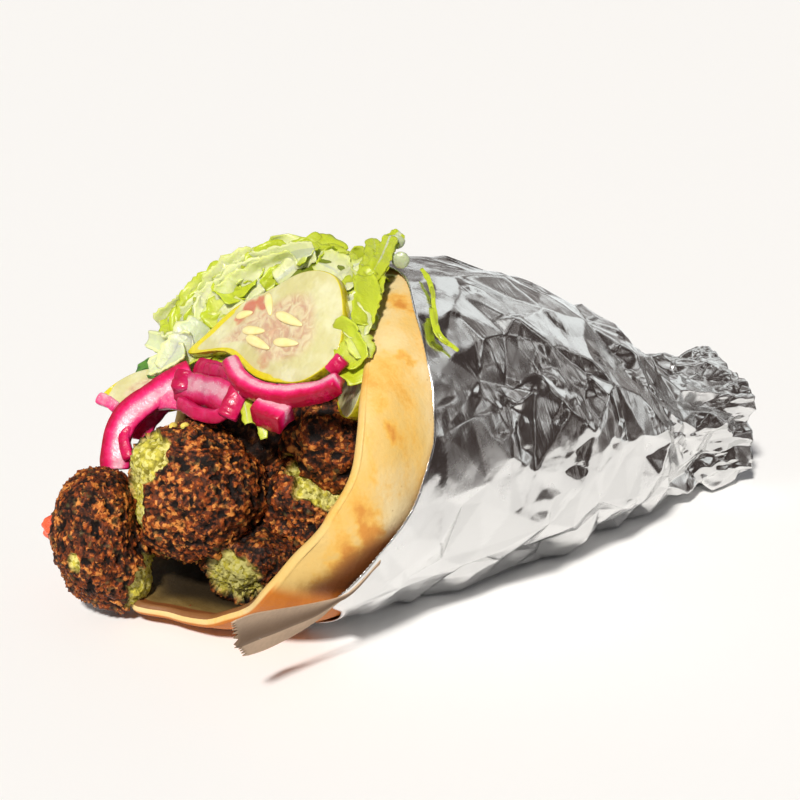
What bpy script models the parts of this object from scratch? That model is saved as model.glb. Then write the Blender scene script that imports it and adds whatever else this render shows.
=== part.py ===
"""A falafel pita wrapped in foil, lying on its side.

The wrap runs along X: its open mouth faces -X, the twisted foil tail points to +X, and +Y is
the far side. Every size below is in millimetres, in a working frame whose zero is on the table
under the thickest part of the wrap. centre_on_table() then moves the whole so that the origin
is at the bottom centre of its box.
"""
import math
import random

import bmesh
import bpy
from mathutils import Matrix, Vector, noise

MM = 0.001
GAP = 0.35          # clearance between pieces that touch
LEAF_GAP = 0.8      # clearance round the loose leaves

# The wrapped body: x, sideways centre, width and height of each section.
SECTIONS = (
    (-115, 8, 120, 92),
    (-85, 6, 116, 95),
    (-60, 3, 111, 98),
    (-25, 0, 104, 101),
    (0, -2, 104, 101),
    (25, -4, 101, 95),
    (50, -6, 90, 82),
    (72, -7, 74, 66),
    (88, -8, 58, 51),
    (99, -9, 50, 46),
    (113, -12, 46, 45),
    (127, -16, 41, 44),
)
SECTION_POWER = 2.3     # between an ellipse (2) and a box
FLAT_DEPTH = 0.6        # how much of the round bottom is pressed flat
SPLAY_START = -66       # the far bottom edge of the mouth spreads out from here
SPLAY_LENGTH = 28
SPLAY_DROP = 0.55

# Rims: how far along X each sheet reaches, by the angle round the body in degrees.
# 0 is the table, 90 the near side (-Y), 180 the top and 270 the far side (+Y).
FOIL_RIM = ((0, -62), (20, -60), (38, -61), (52, -66), (62, -73), (69, -68), (77, -61),
            (84, -53), (91, -46), (104, -39), (120, -35), (150, -26), (180, -13), (210, -19),
            (240, -32), (270, -48), (300, -66), (326, -100), (345, -88))
PITA_RIM = ((0, -91), (12, -87), (30, -85), (55, -85), (78, -77), (100, -66), (120, -57),
            (145, -43), (165, -27), (180, -17), (200, -19), (225, -32), (250, -46), (270, -54),
            (300, -66), (330, -84), (348, -96))

FOIL_WALL = 1.0
FOIL_TAIL_X = 127
FOIL_POCKET_X = 62      # the foil is one crushed lump from here to the tail
FOIL_FOLD = 1.3         # height of the long diagonal folds
FOIL_FOLDS_ROUND = 9
TAIL_CRUMPLE_X = 84
TAIL_CRUMPLE = 2.6
PITA_INSET = 1.5        # outer face of the bread, in from the outside of the foil
PITA_WALL = 6.5
PITA_END_X = 59
PITA_POCKET_X = -20     # the pocket that holds the filling ends here
SEGMENTS = 36           # facets round the body

# Falafel balls: centre, half sizes (across, deep, high) and their broken sides.
FALAFELS = {
    "falafel_centre": dict(at=(-76, 16, 38.5), size=(20.5, 19, 22), level=4, crack=True),
    "falafel_left": dict(at=(-98, 34, 24.5), size=(14.5, 18, 22.5), level=3),
    "falafel_right": dict(at=(-48, -2, 31), size=(19, 17, 18.5), level=3),
    "falafel_upper": dict(at=(-38, -5, 52), size=(18, 17, 18), level=3),
    "falafel_lower": dict(at=(-66, -1, 19), size=(17, 15, 13), level=3),
    "falafel_back": dict(at=(-55, 17, 49), size=(16, 15, 16), level=3),
}
VIEW_TURN = math.radians(-42)   # the balls' across axis is turned this much from X
CRUST_SCALE = 5.0               # spacing of the crust's lumps
CRUST_HEIGHT = 0.9
CRACK_DEPTH = 3.5

# Pickled onion strips: path, width and thickness, and the way that the wide face looks.
ONIONS = {
    "onion_long": dict(path=((-63, 33, 69), (-68, 37.5, 65), (-73, 41, 61), (-79, 44, 56.5),
                             (-83.5, 44, 51), (-86.3, 42, 45), (-87.6, 40.3, 41.5)),
                       width=9, thick=2.3, face=(-0.6, -0.5, 0.6)),
    "onion_front": dict(path=((-64, 11, 78), (-68, 1, 76), (-67, -8, 74.5), (-63, -17, 75),
                              (-59, -25, 78), (-57, -30, 81)), width=5.5, thick=4.6,
                        face=(-0.4, -0.2, 0.9)),
    "onion_middle": dict(path=((-69, 31.5, 66.5), (-69, 20.5, 68), (-69.5, 10, 69.5),
                               (-69, 2, 68.5)),
                         width=9.5, thick=3.0, face=(-0.8, -0.4, 0.4)),
    "onion_chunk": dict(path=((-69, -8, 70.5), (-66.5, -18, 69)), width=7.5, thick=6,
                        face=(-0.6, -0.5, 0.6)),
    "onion_behind": dict(path=((-73, 47, 58), (-70, 36, 61), (-67, 27, 62)), width=6, thick=3,
                         face=(-0.7, -0.5, 0.5)),
    "onion_end": dict(path=((-80.5, 58.5, 58), (-79, 51, 56.5)), width=3.6, thick=2.2,
                      face=(-0.6, -0.5, 0.6)),
}

# Pickle slices: the cut face's outline (across, up), its place and how it leans.
PICKLES = {
    "pickle_front": dict(
        outline=((-26, -15.5), (-22, -8), (-15, 2.5), (-4, 11), (5, 19), (14, 22), (22, 20),
                 (30, 10), (33, 0), (28, -9), (20, -13), (8, -14.5), (-9, -11)),
        at=(-51, 12, 85.5), lean=37, swing=0, thick=3.6, bend=0.002),
    "pickle_back": dict(
        outline=((-11, -9), (-11, 5), (-2, 11), (8, 9), (12, 0), (9, -9), (-2, -12)),
        at=(-42, -21, 76), lean=20, swing=-30, thick=3.4, bend=0.0),
    "pickle_side": dict(
        outline=((-16, -7), (-8, 3), (6, 7), (17, 5), (16, -3), (4, -9), (-8, -11)),
        at=(-64, 51, 60), lean=52, swing=28, thick=3.2, bend=0.0),
}

LETTUCE = dict(at=(-36, 20, 83), size=(20, 42, 23), level=3, turn=26, slope=0.22)
LETTUCE_RUFFLE = 3.2
LETTUCE_BEHIND = 5.5    # how far behind the front pickle the heap starts
TOMATO = dict(at=(-97.9, 55.9, 20.6), size=(6.5, 5.5, 4.2), level=2)
RIB = dict(path=((-60, 52, 75), (-58, 45, 72.5), (-57, 39, 71)), width=8, thick=2.4,
           face=(-0.7, -0.4, 0.5))

COLOURS = {     # base colour, roughness, metallic
    "foil": ((0.78, 0.79, 0.80), 0.22, 1.0),
    "bread": ((0.86, 0.66, 0.36), 0.65, 0.0),
    "falafel": ((0.18, 0.07, 0.025), 0.6, 0.0),
    "onion": ((0.62, 0.03, 0.25), 0.3, 0.0),
    "pickle": ((0.66, 0.66, 0.25), 0.25, 0.0),
    "lettuce": ((0.50, 0.68, 0.10), 0.4, 0.0),
    "rib": ((0.80, 0.84, 0.66), 0.35, 0.0),
    "tomato": ((0.85, 0.10, 0.04), 0.3, 0.0),
}


# ---------------------------------------------------------------- small helpers

def clear_scene():
    for thing in list(bpy.data.objects):
        bpy.data.objects.remove(thing)


def material(kind):
    """The Principled material of one kind of piece, made once."""
    made = bpy.data.materials.get(kind)
    if made:
        return made
    colour, roughness, metallic = COLOURS[kind]
    made = bpy.data.materials.new(kind)
    made.use_nodes = True
    shader = made.node_tree.nodes["Principled BSDF"]
    shader.inputs["Base Color"].default_value = (*colour, 1.0)
    shader.inputs["Roughness"].default_value = roughness
    shader.inputs["Metallic"].default_value = metallic
    made.diffuse_color = (*colour, 1.0)
    return made


def add_object(name, bm, kind, smooth=True):
    """Turns a bmesh in millimetres into an object in metres."""
    bmesh.ops.scale(bm, vec=(MM, MM, MM), verts=bm.verts)
    bmesh.ops.recalc_face_normals(bm, faces=bm.faces)
    mesh = bpy.data.meshes.new(name)
    bm.to_mesh(mesh)
    bm.free()
    mesh.materials.append(material(kind))
    if smooth:
        mesh.shade_smooth()
    made = bpy.data.objects.new(name, mesh)
    bpy.context.scene.collection.objects.link(made)
    return made


def smooth_step(value):
    value = min(max(value, 0.0), 1.0)
    return value * value * (3.0 - 2.0 * value)


def cubic(before, start, end, after, part):
    """Catmull-Rom curve from start to end."""
    return 0.5 * (2 * start + (end - before) * part
                  + (2 * before - 5 * start + 4 * end - after) * part ** 2
                  + (3 * start - before - 3 * end + after) * part ** 3)


def along(points, share):
    """The point at a share (0 to 1) of an open smooth curve through the points."""
    last = len(points) - 1
    index = min(int(share * last), last - 1)
    around = [Vector(points[min(max(index + step, 0), last)]) for step in (-1, 0, 1, 2)]
    return cubic(*around, share * last - index)


def closed_curve(points, count):
    """Points evenly spread over a closed smooth curve through the given 2-D points."""
    total = len(points)
    curve = []
    for step in range(count):
        place = step * total / count
        index = int(place)
        around = [Vector(points[(index + shift) % total]) for shift in (-1, 0, 1, 2)]
        curve.append(cubic(*around, place - index))
    return curve


# ---------------------------------------------------------------- body surface

def section_at(x):
    """Sideways centre, width and height of the wrapped body at x."""
    last = len(SECTIONS) - 1
    x = min(max(x, SECTIONS[0][0]), SECTIONS[last][0])
    index = max(i for i in range(last) if SECTIONS[i][0] <= x)
    start, end = SECTIONS[index], SECTIONS[index + 1]
    before, after = SECTIONS[max(index - 1, 0)], SECTIONS[min(index + 2, last)]
    part = (x - start[0]) / (end[0] - start[0])
    return [cubic(before[i], start[i], end[i], after[i], part) for i in (1, 2, 3)]


def signed_power(value):
    return math.copysign(abs(value) ** (2.0 / SECTION_POWER), value)


def raw_point(x, angle, inset):
    centre, width, height = section_at(x)
    y = centre - (width / 2 - inset) * signed_power(math.sin(angle))
    z = height / 2 - (height / 2 - inset) * signed_power(math.cos(angle))
    return y, max(z, inset + FLAT_DEPTH) - FLAT_DEPTH


def body_point(x, angle, inset):
    """A point of the body's surface, moved in by inset, at an angle from the table."""
    y, z = raw_point(x, angle, inset)
    outer_y, outer_z = raw_point(x, angle, 0.0)
    spread = smooth_step((SPLAY_START - x) / SPLAY_LENGTH) * smooth_step((outer_y - 5) / 45)
    low = 1.0 - smooth_step(outer_z / 60)
    return Vector((x, y, z - SPLAY_DROP * spread * low * outer_z))


def rim_at(rim, angle):
    """How far a sheet reaches at an angle: a closed smooth curve through its rim points."""
    degrees = math.degrees(angle) % 360
    count = len(rim)
    index = max(i for i in range(count) if rim[i][0] <= degrees)
    start, end = rim[index], rim[(index + 1) % count]
    before, after = rim[index - 1], rim[(index + 2) % count]
    span = (end[0] - start[0]) % 360
    return cubic(before[1], start[1], end[1], after[1], (degrees - start[0]) / span)


def ring_angles():
    return [2 * math.pi * step / SEGMENTS for step in range(SEGMENTS)]


def loft(bm, rings, fans=True):
    """Skins a row of equal rings and closes both ends, with a fan or with one flat face."""
    rows = [[bm.verts.new(point) for point in ring] for ring in rings]
    for row, following in zip(rows, rows[1:]):
        for index, vert in enumerate(row):
            beside = (index + 1) % len(row)
            bm.faces.new((vert, row[beside], following[beside], following[index]))
    for row in (rows[0], rows[-1]):
        if not fans:
            bmesh.ops.triangulate(bm, faces=[bm.faces.new(row)], ngon_method="EAR_CLIP")
            continue
        middle = bm.verts.new(sum((vert.co for vert in row), Vector()) / len(row))
        for index, vert in enumerate(row):
            bm.faces.new((vert, row[(index + 1) % len(row)], middle))


def sleeve(rim, inset, wall, end_x, pocket_x, rows, pocket_rows, relief):
    """A sheet wrapped round the body: open at its rim, solid from pocket_x to end_x."""
    rings = []
    for row in range(rows, -1, -1):
        ring = []
        for angle in ring_angles():
            start = rim_at(rim, angle)
            x = start + (end_x - start) * row / rows
            point = body_point(x, angle, inset - relief(x, angle))
            point.z = max(point.z, 0.0)
            ring.append(point)
        rings.append(ring)
    rings.append([body_point(rim_at(rim, angle) - wall * 0.28, angle, inset + wall / 2)
                  for angle in ring_angles()])
    for row in range(pocket_rows + 1):
        ring = []
        for angle in ring_angles():
            start = rim_at(rim, angle)
            x = start + (pocket_x - start) * row / pocket_rows
            ring.append(body_point(x, angle, inset + wall))
        rings.append(ring)
    bm = bmesh.new()
    loft(bm, rings)
    return bm


# ---------------------------------------------------------------- wrap and bread

def triangle_wave(value):
    return 1.0 - abs(2.0 * (value % 1.0) - 1.0)


def build_foil():
    """The paper-backed foil: a sheet round the bread that ends in a crushed tail."""
    crumple = random.Random(11)

    def relief(x, angle):
        fold = FOIL_FOLD * triangle_wave(angle * FOIL_FOLDS_ROUND / (2 * math.pi) + x / 55)
        tail = smooth_step((x - TAIL_CRUMPLE_X) / 18) * TAIL_CRUMPLE
        return fold * smooth_step((x + 45) / 40) + tail * crumple.uniform(-1.0, 0.6)

    bm = sleeve(FOIL_RIM, 0.0, FOIL_WALL, FOIL_TAIL_X, FOIL_POCKET_X, 18, 7, relief)
    return add_object("foil_wrap", bm, "foil", smooth=False)


def build_pita():
    bm = sleeve(PITA_RIM, PITA_INSET, PITA_WALL, PITA_END_X, PITA_POCKET_X, 10, 7,
                lambda x, angle: 0.0)
    return add_object("pita", bm, "bread")


# ---------------------------------------------------------------- fillings

def blob(at, size, level, lump_scale, lump_height, turn=0.0):
    """A lumpy ball: an icosphere stretched to size, roughened and put in place."""
    bm = bmesh.new()
    bmesh.ops.create_icosphere(bm, subdivisions=level, radius=1.0)
    place = Matrix.Translation(at) @ Matrix.Rotation(turn, 4, "Z")
    shift = Vector(at)
    for vert in bm.verts:
        out = vert.co.normalized()
        point = Vector(out[i] * size[i] for i in range(3))
        lump = noise.turbulence((point + shift) / lump_scale, 3, False)
        vert.co = place @ (point + out * lump_height * lump)
    return bm


def build_falafel(name, at, size, level, crack=False):
    bm = blob(at, size, level, CRUST_SCALE, CRUST_HEIGHT, VIEW_TURN)
    if crack:       # a split that runs down the side that faces away from the near wall
        across = Matrix.Rotation(VIEW_TURN, 3, "Z") @ Vector((1, 0, 0))
        for vert in bm.verts:
            out = vert.co - Vector(at)
            place = out.normalized().dot(across)
            depth = CRACK_DEPTH * max(0.0, 1.0 - abs(place + 0.72) / 0.2)
            vert.co -= out.normalized() * depth
    return add_object(name, bm, "falafel")


def build_strip(name, path, width, thick, face, kind="onion", steps=8):
    """A curved strip with rounded edges whose wide face looks along face."""
    bm = bmesh.new()
    rings = []
    for step in range(steps + 1):
        share = step / steps
        centre = along(path, share)
        ahead = along(path, min(share + 0.02, 1.0)) - along(path, max(share - 0.02, 0.0))
        ahead.normalize()
        side = ahead.cross(Vector(face)).normalized()
        up = side.cross(ahead).normalized()
        taper = 1.0 - 0.35 * abs(2 * share - 1.0) ** 4
        ring = []
        for corner in range(8):
            angle = math.pi * (corner + 0.5) / 4
            across = math.copysign(abs(math.cos(angle)) ** 0.6, math.cos(angle))
            over = math.copysign(abs(math.sin(angle)) ** 0.6, math.sin(angle))
            ring.append(centre + side * across * taper * width / 2 + up * over * thick / 2)
        rings.append(ring)
    loft(bm, rings)
    return add_object(name, bm, kind)


def build_slice(name, outline, at, lean, swing, thick, bend):
    """A slice cut from a pickle: an outline with thickness, bent and leant back."""
    bm = bmesh.new()
    curve = closed_curve(outline, 24)
    rings = [[Vector((depth * thick, -point[0] * scale, point[1] * scale)) for point in curve]
             for depth, scale in ((-0.5, 0.96), (-0.3, 1.0), (0.3, 1.0), (0.5, 0.96))]
    loft(bm, rings, fans=False)
    for vert in bm.verts:
        vert.co.x += bend * vert.co.y ** 2
    turn = Matrix.Rotation(math.radians(swing), 4, "Z") @ Matrix.Rotation(math.radians(lean), 4, "Y")
    bmesh.ops.transform(bm, matrix=Matrix.Translation(at) @ turn, verts=bm.verts)
    return add_object(name, bm, "pickle")


def build_lettuce(at, size, level, turn, slope):
    """The heap of shredded leaves behind the front pickle, out to its uneven outline."""
    bm = blob(at, size, level, 9.0, LETTUCE_RUFFLE, math.radians(turn))
    front = PICKLES["pickle_front"]
    lean = math.radians(front["lean"])
    out = Vector((-math.cos(lean), 0, math.sin(lean)))
    for vert in bm.verts:
        vert.co.z -= slope * (vert.co.y - at[1])
    bmesh.ops.bisect_plane(bm, geom=bm.verts[:] + bm.edges[:] + bm.faces[:], clear_outer=True,
                           plane_co=Vector(front["at"]) - out * LETTUCE_BEHIND, plane_no=out)
    bmesh.ops.holes_fill(bm, edges=bm.edges[:])
    bmesh.ops.triangulate(bm, faces=bm.faces[:])
    return add_object("lettuce_heap", bm, "lettuce", smooth=False)


# ---------------------------------------------------------------- fitting together

def swollen_copy(source, gap):
    """A copy that stands out by the clearance all round, used to cut its neighbours."""
    mesh = source.data.copy()
    normals = [vert.normal.copy() for vert in mesh.vertices]
    for vert, normal in zip(mesh.vertices, normals):
        vert.co += normal * gap * MM
    cutter = bpy.data.objects.new("cutter_" + source.name, mesh)
    cutter.hide_render = True
    cutter.display_type = "WIRE"
    bpy.context.scene.collection.objects.link(cutter)
    return cutter


def keep_largest_part(mesh):
    """Drops the crumbs that a cut leaves behind."""
    bm = bmesh.new()
    bm.from_mesh(mesh)
    bmesh.ops.remove_doubles(bm, verts=bm.verts, dist=0.00001)
    unseen = set(bm.verts)
    parts = []
    while unseen:
        part, front = set(), [unseen.pop()]
        while front:
            vert = front.pop()
            part.add(vert)
            for edge in vert.link_edges:
                other = edge.other_vert(vert)
                if other in unseen:
                    unseen.discard(other)
                    front.append(other)
        parts.append(part)
    parts.sort(key=len)
    bmesh.ops.delete(bm, geom=[vert for part in parts[:-1] for vert in part], context="VERTS")
    bm.to_mesh(mesh)
    bm.free()


def box_of(piece):
    corners = [vert.co for vert in piece.data.vertices]
    return [(min(corner[i] for corner in corners), max(corner[i] for corner in corners))
            for i in range(3)]


def boxes_meet(piece, other, gap):
    """Whether two pieces' boxes come closer than the gap."""
    return all(low <= other_high + gap * MM and other_low <= high + gap * MM
               for (low, high), (other_low, other_high) in zip(box_of(piece), box_of(other)))


def press_against(piece, neighbours, gap=GAP):
    """Cuts a soft piece back where its neighbours press into it."""
    cutters = []
    for neighbour in neighbours:
        if not boxes_meet(piece, neighbour, 2 * gap):
            continue
        cutter = swollen_copy(neighbour, gap)
        cut = piece.modifiers.new("pressed", "BOOLEAN")
        cut.operation = "DIFFERENCE"
        cut.solver = "EXACT"
        cut.object = cutter
        cutters.append(cutter)
    depsgraph = bpy.context.evaluated_depsgraph_get()
    mesh = bpy.data.meshes.new_from_object(piece.evaluated_get(depsgraph))
    mesh.name = piece.name
    piece.modifiers.clear()
    piece.data = mesh
    keep_largest_part(mesh)
    for cutter in cutters:
        bpy.data.objects.remove(cutter)


def centre_on_table(pieces):
    """Moves everything so that the origin is at the bottom centre of the whole."""
    boxes = [box_of(piece) for piece in pieces]
    low = [min(box[i][0] for box in boxes) for i in range(3)]
    high = [max(box[i][1] for box in boxes) for i in range(3)]
    shift = Vector((-(low[0] + high[0]) / 2, -(low[1] + high[1]) / 2, -low[2]))
    for piece in pieces:
        piece.data.transform(Matrix.Translation(shift))


def main():
    clear_scene()
    foil = build_foil()
    pita = build_pita()
    wrap = [foil, pita]
    placed = []
    for name, sizes in FALAFELS.items():
        ball = build_falafel(name, **sizes)
        press_against(ball, wrap + placed)
        placed.append(ball)
    for name, sizes in PICKLES.items():
        piece = build_slice(name, **sizes)
        press_against(piece, wrap + placed)
        placed.append(piece)
    for name, sizes in ONIONS.items():
        strip = build_strip(name, **sizes)
        press_against(strip, wrap + placed)
        placed.append(strip)
    rib = build_strip("rib_chunk", **RIB, kind="rib", steps=6)
    press_against(rib, wrap + placed)
    placed.append(rib)
    tomato_ball = blob(**TOMATO, lump_scale=6.0, lump_height=0.4, turn=VIEW_TURN)
    tomato = add_object("tomato_piece", tomato_ball, "tomato")
    press_against(tomato, wrap + placed)
    placed.append(tomato)
    lettuce = build_lettuce(**LETTUCE)
    press_against(lettuce, wrap + placed, LEAF_GAP)
    placed.append(lettuce)
    centre_on_table(wrap + placed)


main()
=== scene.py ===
"""Falafel pita wrap in foil: the finished look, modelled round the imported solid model.

Sizes are millimetres in the working frame: the wrap runs along X, its mouth faces -X, +Y is
the far side, and Z is zero on the table under the thickest part. to_frame() takes them to the
frame's own metres. Across, deep and high are directions seen from the mouth's open corner.
"""
import itertools
import math
import random

import bmesh
import bpy
import numpy as np
from bpy.props import FloatProperty, FloatVectorProperty, PointerProperty
from mathutils import Matrix, Vector, geometry, noise


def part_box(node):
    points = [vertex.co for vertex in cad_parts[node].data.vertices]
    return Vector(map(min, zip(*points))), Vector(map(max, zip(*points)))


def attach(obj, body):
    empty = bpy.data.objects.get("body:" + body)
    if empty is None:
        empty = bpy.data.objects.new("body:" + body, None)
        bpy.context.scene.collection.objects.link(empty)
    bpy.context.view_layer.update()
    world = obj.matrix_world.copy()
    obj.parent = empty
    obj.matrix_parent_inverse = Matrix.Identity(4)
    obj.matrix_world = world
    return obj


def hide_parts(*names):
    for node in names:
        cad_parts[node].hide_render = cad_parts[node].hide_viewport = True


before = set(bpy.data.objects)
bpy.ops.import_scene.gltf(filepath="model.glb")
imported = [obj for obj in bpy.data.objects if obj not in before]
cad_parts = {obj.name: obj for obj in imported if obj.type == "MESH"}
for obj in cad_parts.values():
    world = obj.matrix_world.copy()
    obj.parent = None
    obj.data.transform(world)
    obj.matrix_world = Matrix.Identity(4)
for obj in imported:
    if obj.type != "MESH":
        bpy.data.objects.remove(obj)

bl_info = {
    "name": "Falafel Wrap",
    "version": (1, 0, 0),
    "blender": (4, 5, 0),
    "location": "View3D > Sidebar > Wrap",
    "description": "Builds a falafel pita wrap in foil round its solid model",
    "category": "Add Mesh",
}

MM = 0.001
TAIL_X = 127            # the foil's tail ends here in the working frame
TOMATO_FAR_Y = 61.739   # the far side of the tomato piece there

# The wrapped body: x, sideways centre, width and height of each section.
SECTIONS = np.array((
    (-115, 8, 120, 92), (-85, 6, 116, 95), (-60, 3, 111, 98), (-25, 0, 104, 101),
    (0, -2, 104, 101), (25, -4, 101, 95), (50, -6, 90, 82), (72, -7, 74, 66),
    (88, -8, 58, 51), (99, -9, 50, 46), (113, -12, 46, 45), (127, -16, 41, 44)), float)
SECTION_POWER = 2.3     # 2 is an oval, and more is squarer
FLAT_DEPTH = 0.6        # pressed flat on the table by this much
SPLAY_START = -66       # in front of this, the far side is spread down
SPLAY_LENGTH = 28
SPLAY_DROP = 0.55

# Rims: how far each sheet reaches along X, by the angle round the body in degrees.
# 0 is the table, 90 the near side, 180 the top and 270 the far side.
FOIL_RIM = ((0, -62), (20, -60), (38, -61), (52, -66), (62, -73), (69, -68), (77, -61),
            (84, -53), (91, -46), (104, -39), (120, -35), (150, -26), (180, -13), (210, -19),
            (240, -32), (270, -48), (300, -66), (326, -100), (345, -88))
PITA_RIM = ((0, -91), (12, -87), (30, -85), (55, -85), (78, -77), (100, -66), (120, -57),
            (145, -45), (165, -30), (180, -17), (200, -19), (225, -32), (250, -46), (270, -54),
            (300, -66), (330, -84), (348, -96))

# How far the bread's edge curls inwards, by the same angle.
PITA_CURL = ((0, 0), (10, 1.3), (20, 3.8), (30, 5.3), (45, 6.8), (60, 7.8), (75, 7.6), (90, 3.8),
             (100, 1), (115, 0), (140, 1), (170, 1), (200, 0), (330, 0))

# Falafel balls: centre, half sizes (across, deep, high), fineness and broken places. A broken
# place is a direction (across, deep, high), its half angle in degrees and its depth; a bulge
# is given the same way, with its height. A darkening setting, where given, blends a ball towards
# black: painted shade for balls that lie in the shadow of the others.
FALAFELS = {
    "falafel_centre": dict(at=(-75, 15.2, 37.8), size=(21.5, 19, 22.3), level=6, seed=1, breaks=(
        ((-0.87, -0.42, 0.16), 24, 2.6), ((-0.70, -0.33, 0.64), 27, 2.4),
        ((-0.86, -0.40, -0.28), 17, 2.6), ((-0.25, -0.45, -0.88), 15, 2.2),
        ((0.15, -0.50, -0.88), 15, 2.2)), bulges=(((-0.68, -0.2, 0.72), 38, 5.0),)),
    "falafel_left": dict(at=(-98, 34, 24.5), size=(14.5, 18, 22.5), level=6, seed=2, breaks=(
        ((-0.35, -0.93, -0.05), 9, 1.6), ((0.80, -0.30, -0.52), 27, 2.6)),
        bulges=(((0.76, -0.35, -0.56), 48, 7.5),)),
    "falafel_right": dict(at=(-48, -2, 31), size=(19, 17, 18.5), level=6, seed=3, breaks=(
        ((0.42, -0.46, 0.80), 37, 3.2),)),
    "falafel_upper": dict(at=(-38, -5, 52), size=(18, 17, 18), level=5, seed=4, breaks=(
        ((-0.75, -0.55, -0.30), 14, 2.5),)),
    "falafel_lower": dict(at=(-66, -1, 19), size=(17, 15, 13), level=6, seed=5, breaks=(
        ((-0.52, -0.83, -0.10), 44, 2.6),), char=0.35),
    "falafel_back": dict(at=(-55, 17, 49), size=(16, 15, 16), level=5, seed=6, breaks=(),
                         char=0.85),
}
VIEW_TURN = math.radians(-42)   # across is turned this much from X

# Pickled onion strips: path, width and thickness, the way that the wide face looks, the side
# of the strip that its skin is on and how much painted shade darkens it.
ONIONS = {
    "onion_long": dict(path=((-63, 33, 69), (-68, 37.5, 65), (-73, 41, 61), (-79, 44, 56.5),
                             (-83.5, 44, 51), (-86.3, 42, 45), (-87.6, 40.3, 41.5)),
                       width=9, thick=2.3, face=(-0.6, -0.5, 0.6), skin=1),
    "onion_front": dict(path=((-64, 11, 78), (-68, 1, 76), (-67, -8, 74.5), (-63, -17, 75),
                              (-59, -25, 78), (-57, -30, 81)), width=5.5, thick=4.6,
                        face=(-0.5, -0.1, 0.9), skin=1),
    "onion_middle": dict(path=((-69, 31.5, 66.5), (-69, 20.5, 68), (-69.5, 10, 69.5),
                               (-69, 2, 68.5)), width=9.5, thick=3.0,
                         face=(-0.8, -0.45, 0.35), skin=1, deep=0.6),
    "onion_chunk": dict(path=((-69, -8, 70.5), (-66.5, -18, 69)), width=7.5, thick=6,
                        face=(-0.3, -0.3, 0.9), skin=1),
    "onion_behind": dict(path=((-73, 47, 58), (-70, 36, 61), (-67, 27, 62)), width=6, thick=3,
                         face=(-0.7, -0.5, 0.5), skin=0),
    "onion_end": dict(path=((-80.5, 58.5, 58), (-79.5, 55, 57.5), (-79, 51, 56.5)), width=3.6,
                      thick=2.2, face=(-0.6, -0.5, 0.6), skin=0),
}
# Smaller strips between the named ones; deep is how much painted shade darkens each.
ONION_SCRAPS = (
    dict(path=((-70.5, 40, 60.5), (-74.5, 42, 57.5), (-79, 43, 54.5), (-83, 41.5, 50.5),
               (-84.5, 37, 45)), width=3.6, thick=2.4, face=(-0.7, -0.6, 0.4), skin=2, deep=0.15),
    dict(path=((-64, 41, 62), (-68.5, 44, 57), (-73, 45.5, 52), (-76, 44.5, 47)), width=8,
         thick=2, face=(-0.7, -0.6, 0.4), skin=2, deep=0.3),
    dict(path=((-72.5, 26, 63.5), (-74, 15.5, 63.5), (-73.5, 7, 64.5), (-71, 3.5, 67)),
         width=4.0, thick=2.6, face=(-0.8, -0.5, 0.2), skin=2, deep=0.55),
    dict(path=((-66, 3.5, 73.5), (-69, 2.5, 70.5), (-73, 2, 65.5)), width=6, thick=3,
         face=(-0.8, -0.6, 0.2), skin=2, deep=0.5),
    dict(path=((-67.5, 29.5, 70.5), (-71.5, 27, 66.5)), width=5.5, thick=5,
         face=(-0.7, -0.5, 0.5), skin=2, deep=0.7),
    dict(path=((-61, 32.5, 70.5), (-61, 19, 72)), width=6, thick=2,
         face=(-0.7, -0.4, 0.6), skin=2, deep=0.8),
    dict(path=((-62, 26.5, 70.5), (-62.5, 15, 72)), width=6, thick=2,
         face=(-0.8, -0.4, 0.3), skin=2, deep=0.85),
    dict(path=((-55, -24, 82), (-52, -26, 86)), width=4.5, thick=2.4,
         face=(-0.6, -0.6, 0.5), skin=2, deep=0.5),
)

# Pickle slices: the cut face's outline (across, up), its place and how it leans, and its
# seeds: (across, up, turn in degrees, length). Blushes are pink: across, up, radius, strength.
PICKLES = {
    "pickle_front": dict(
        outline=((-26, -15.5), (-22, -8), (-15, 2.5), (-4, 11), (5, 19), (14, 22), (22, 20),
                 (30, 10), (33, 0), (28, -9), (20, -13), (8, -14.5), (-9, -11)),
        at=(-51, 12, 85.5), lean=37, swing=0, thick=3.6, bend=0.002,
        seeds=((-0.6, 7.0, -45, 8.6), (10.2, 4.9, -3, 12.5), (-1.5, -2.0, 12, 9.8),
               (2.7, -5.0, -4, 12.0), (13.5, -1.9, 12, 10.0), (-8.8, 1.6, 25, 7.0)),
        blushes=((-8, 4, 3.5, 0.9), (-5, 7, 2.5, 0.8), (-10, 0, 3, 0.7), (-2.6, 5.6, 1.6, 1.0),
                 (9, -9, 4, 0.55), (6, 0.5, 3.5, 0.5), (11, 8.5, 2, 0.4))),
    "pickle_back": dict(
        outline=((-11, -9), (-11, 5), (-2, 11), (8, 9), (12, 0), (9, -9), (-2, -12)),
        at=(-42, -21, 76), lean=20, swing=-30, thick=3.4, bend=0.0, seeds=()),
    "pickle_side": dict(
        outline=((-16, -7), (-8, 3), (6, 7), (17, 5), (16, -3), (4, -9), (-8, -11)),
        at=(-64, 51, 60), lean=52, swing=28, thick=3.2, bend=0.0, seeds=()),
}
TOMATO = dict(at=(-97.9, 55.9, 20.6), size=(6.5, 5.5, 4.2))

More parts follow.
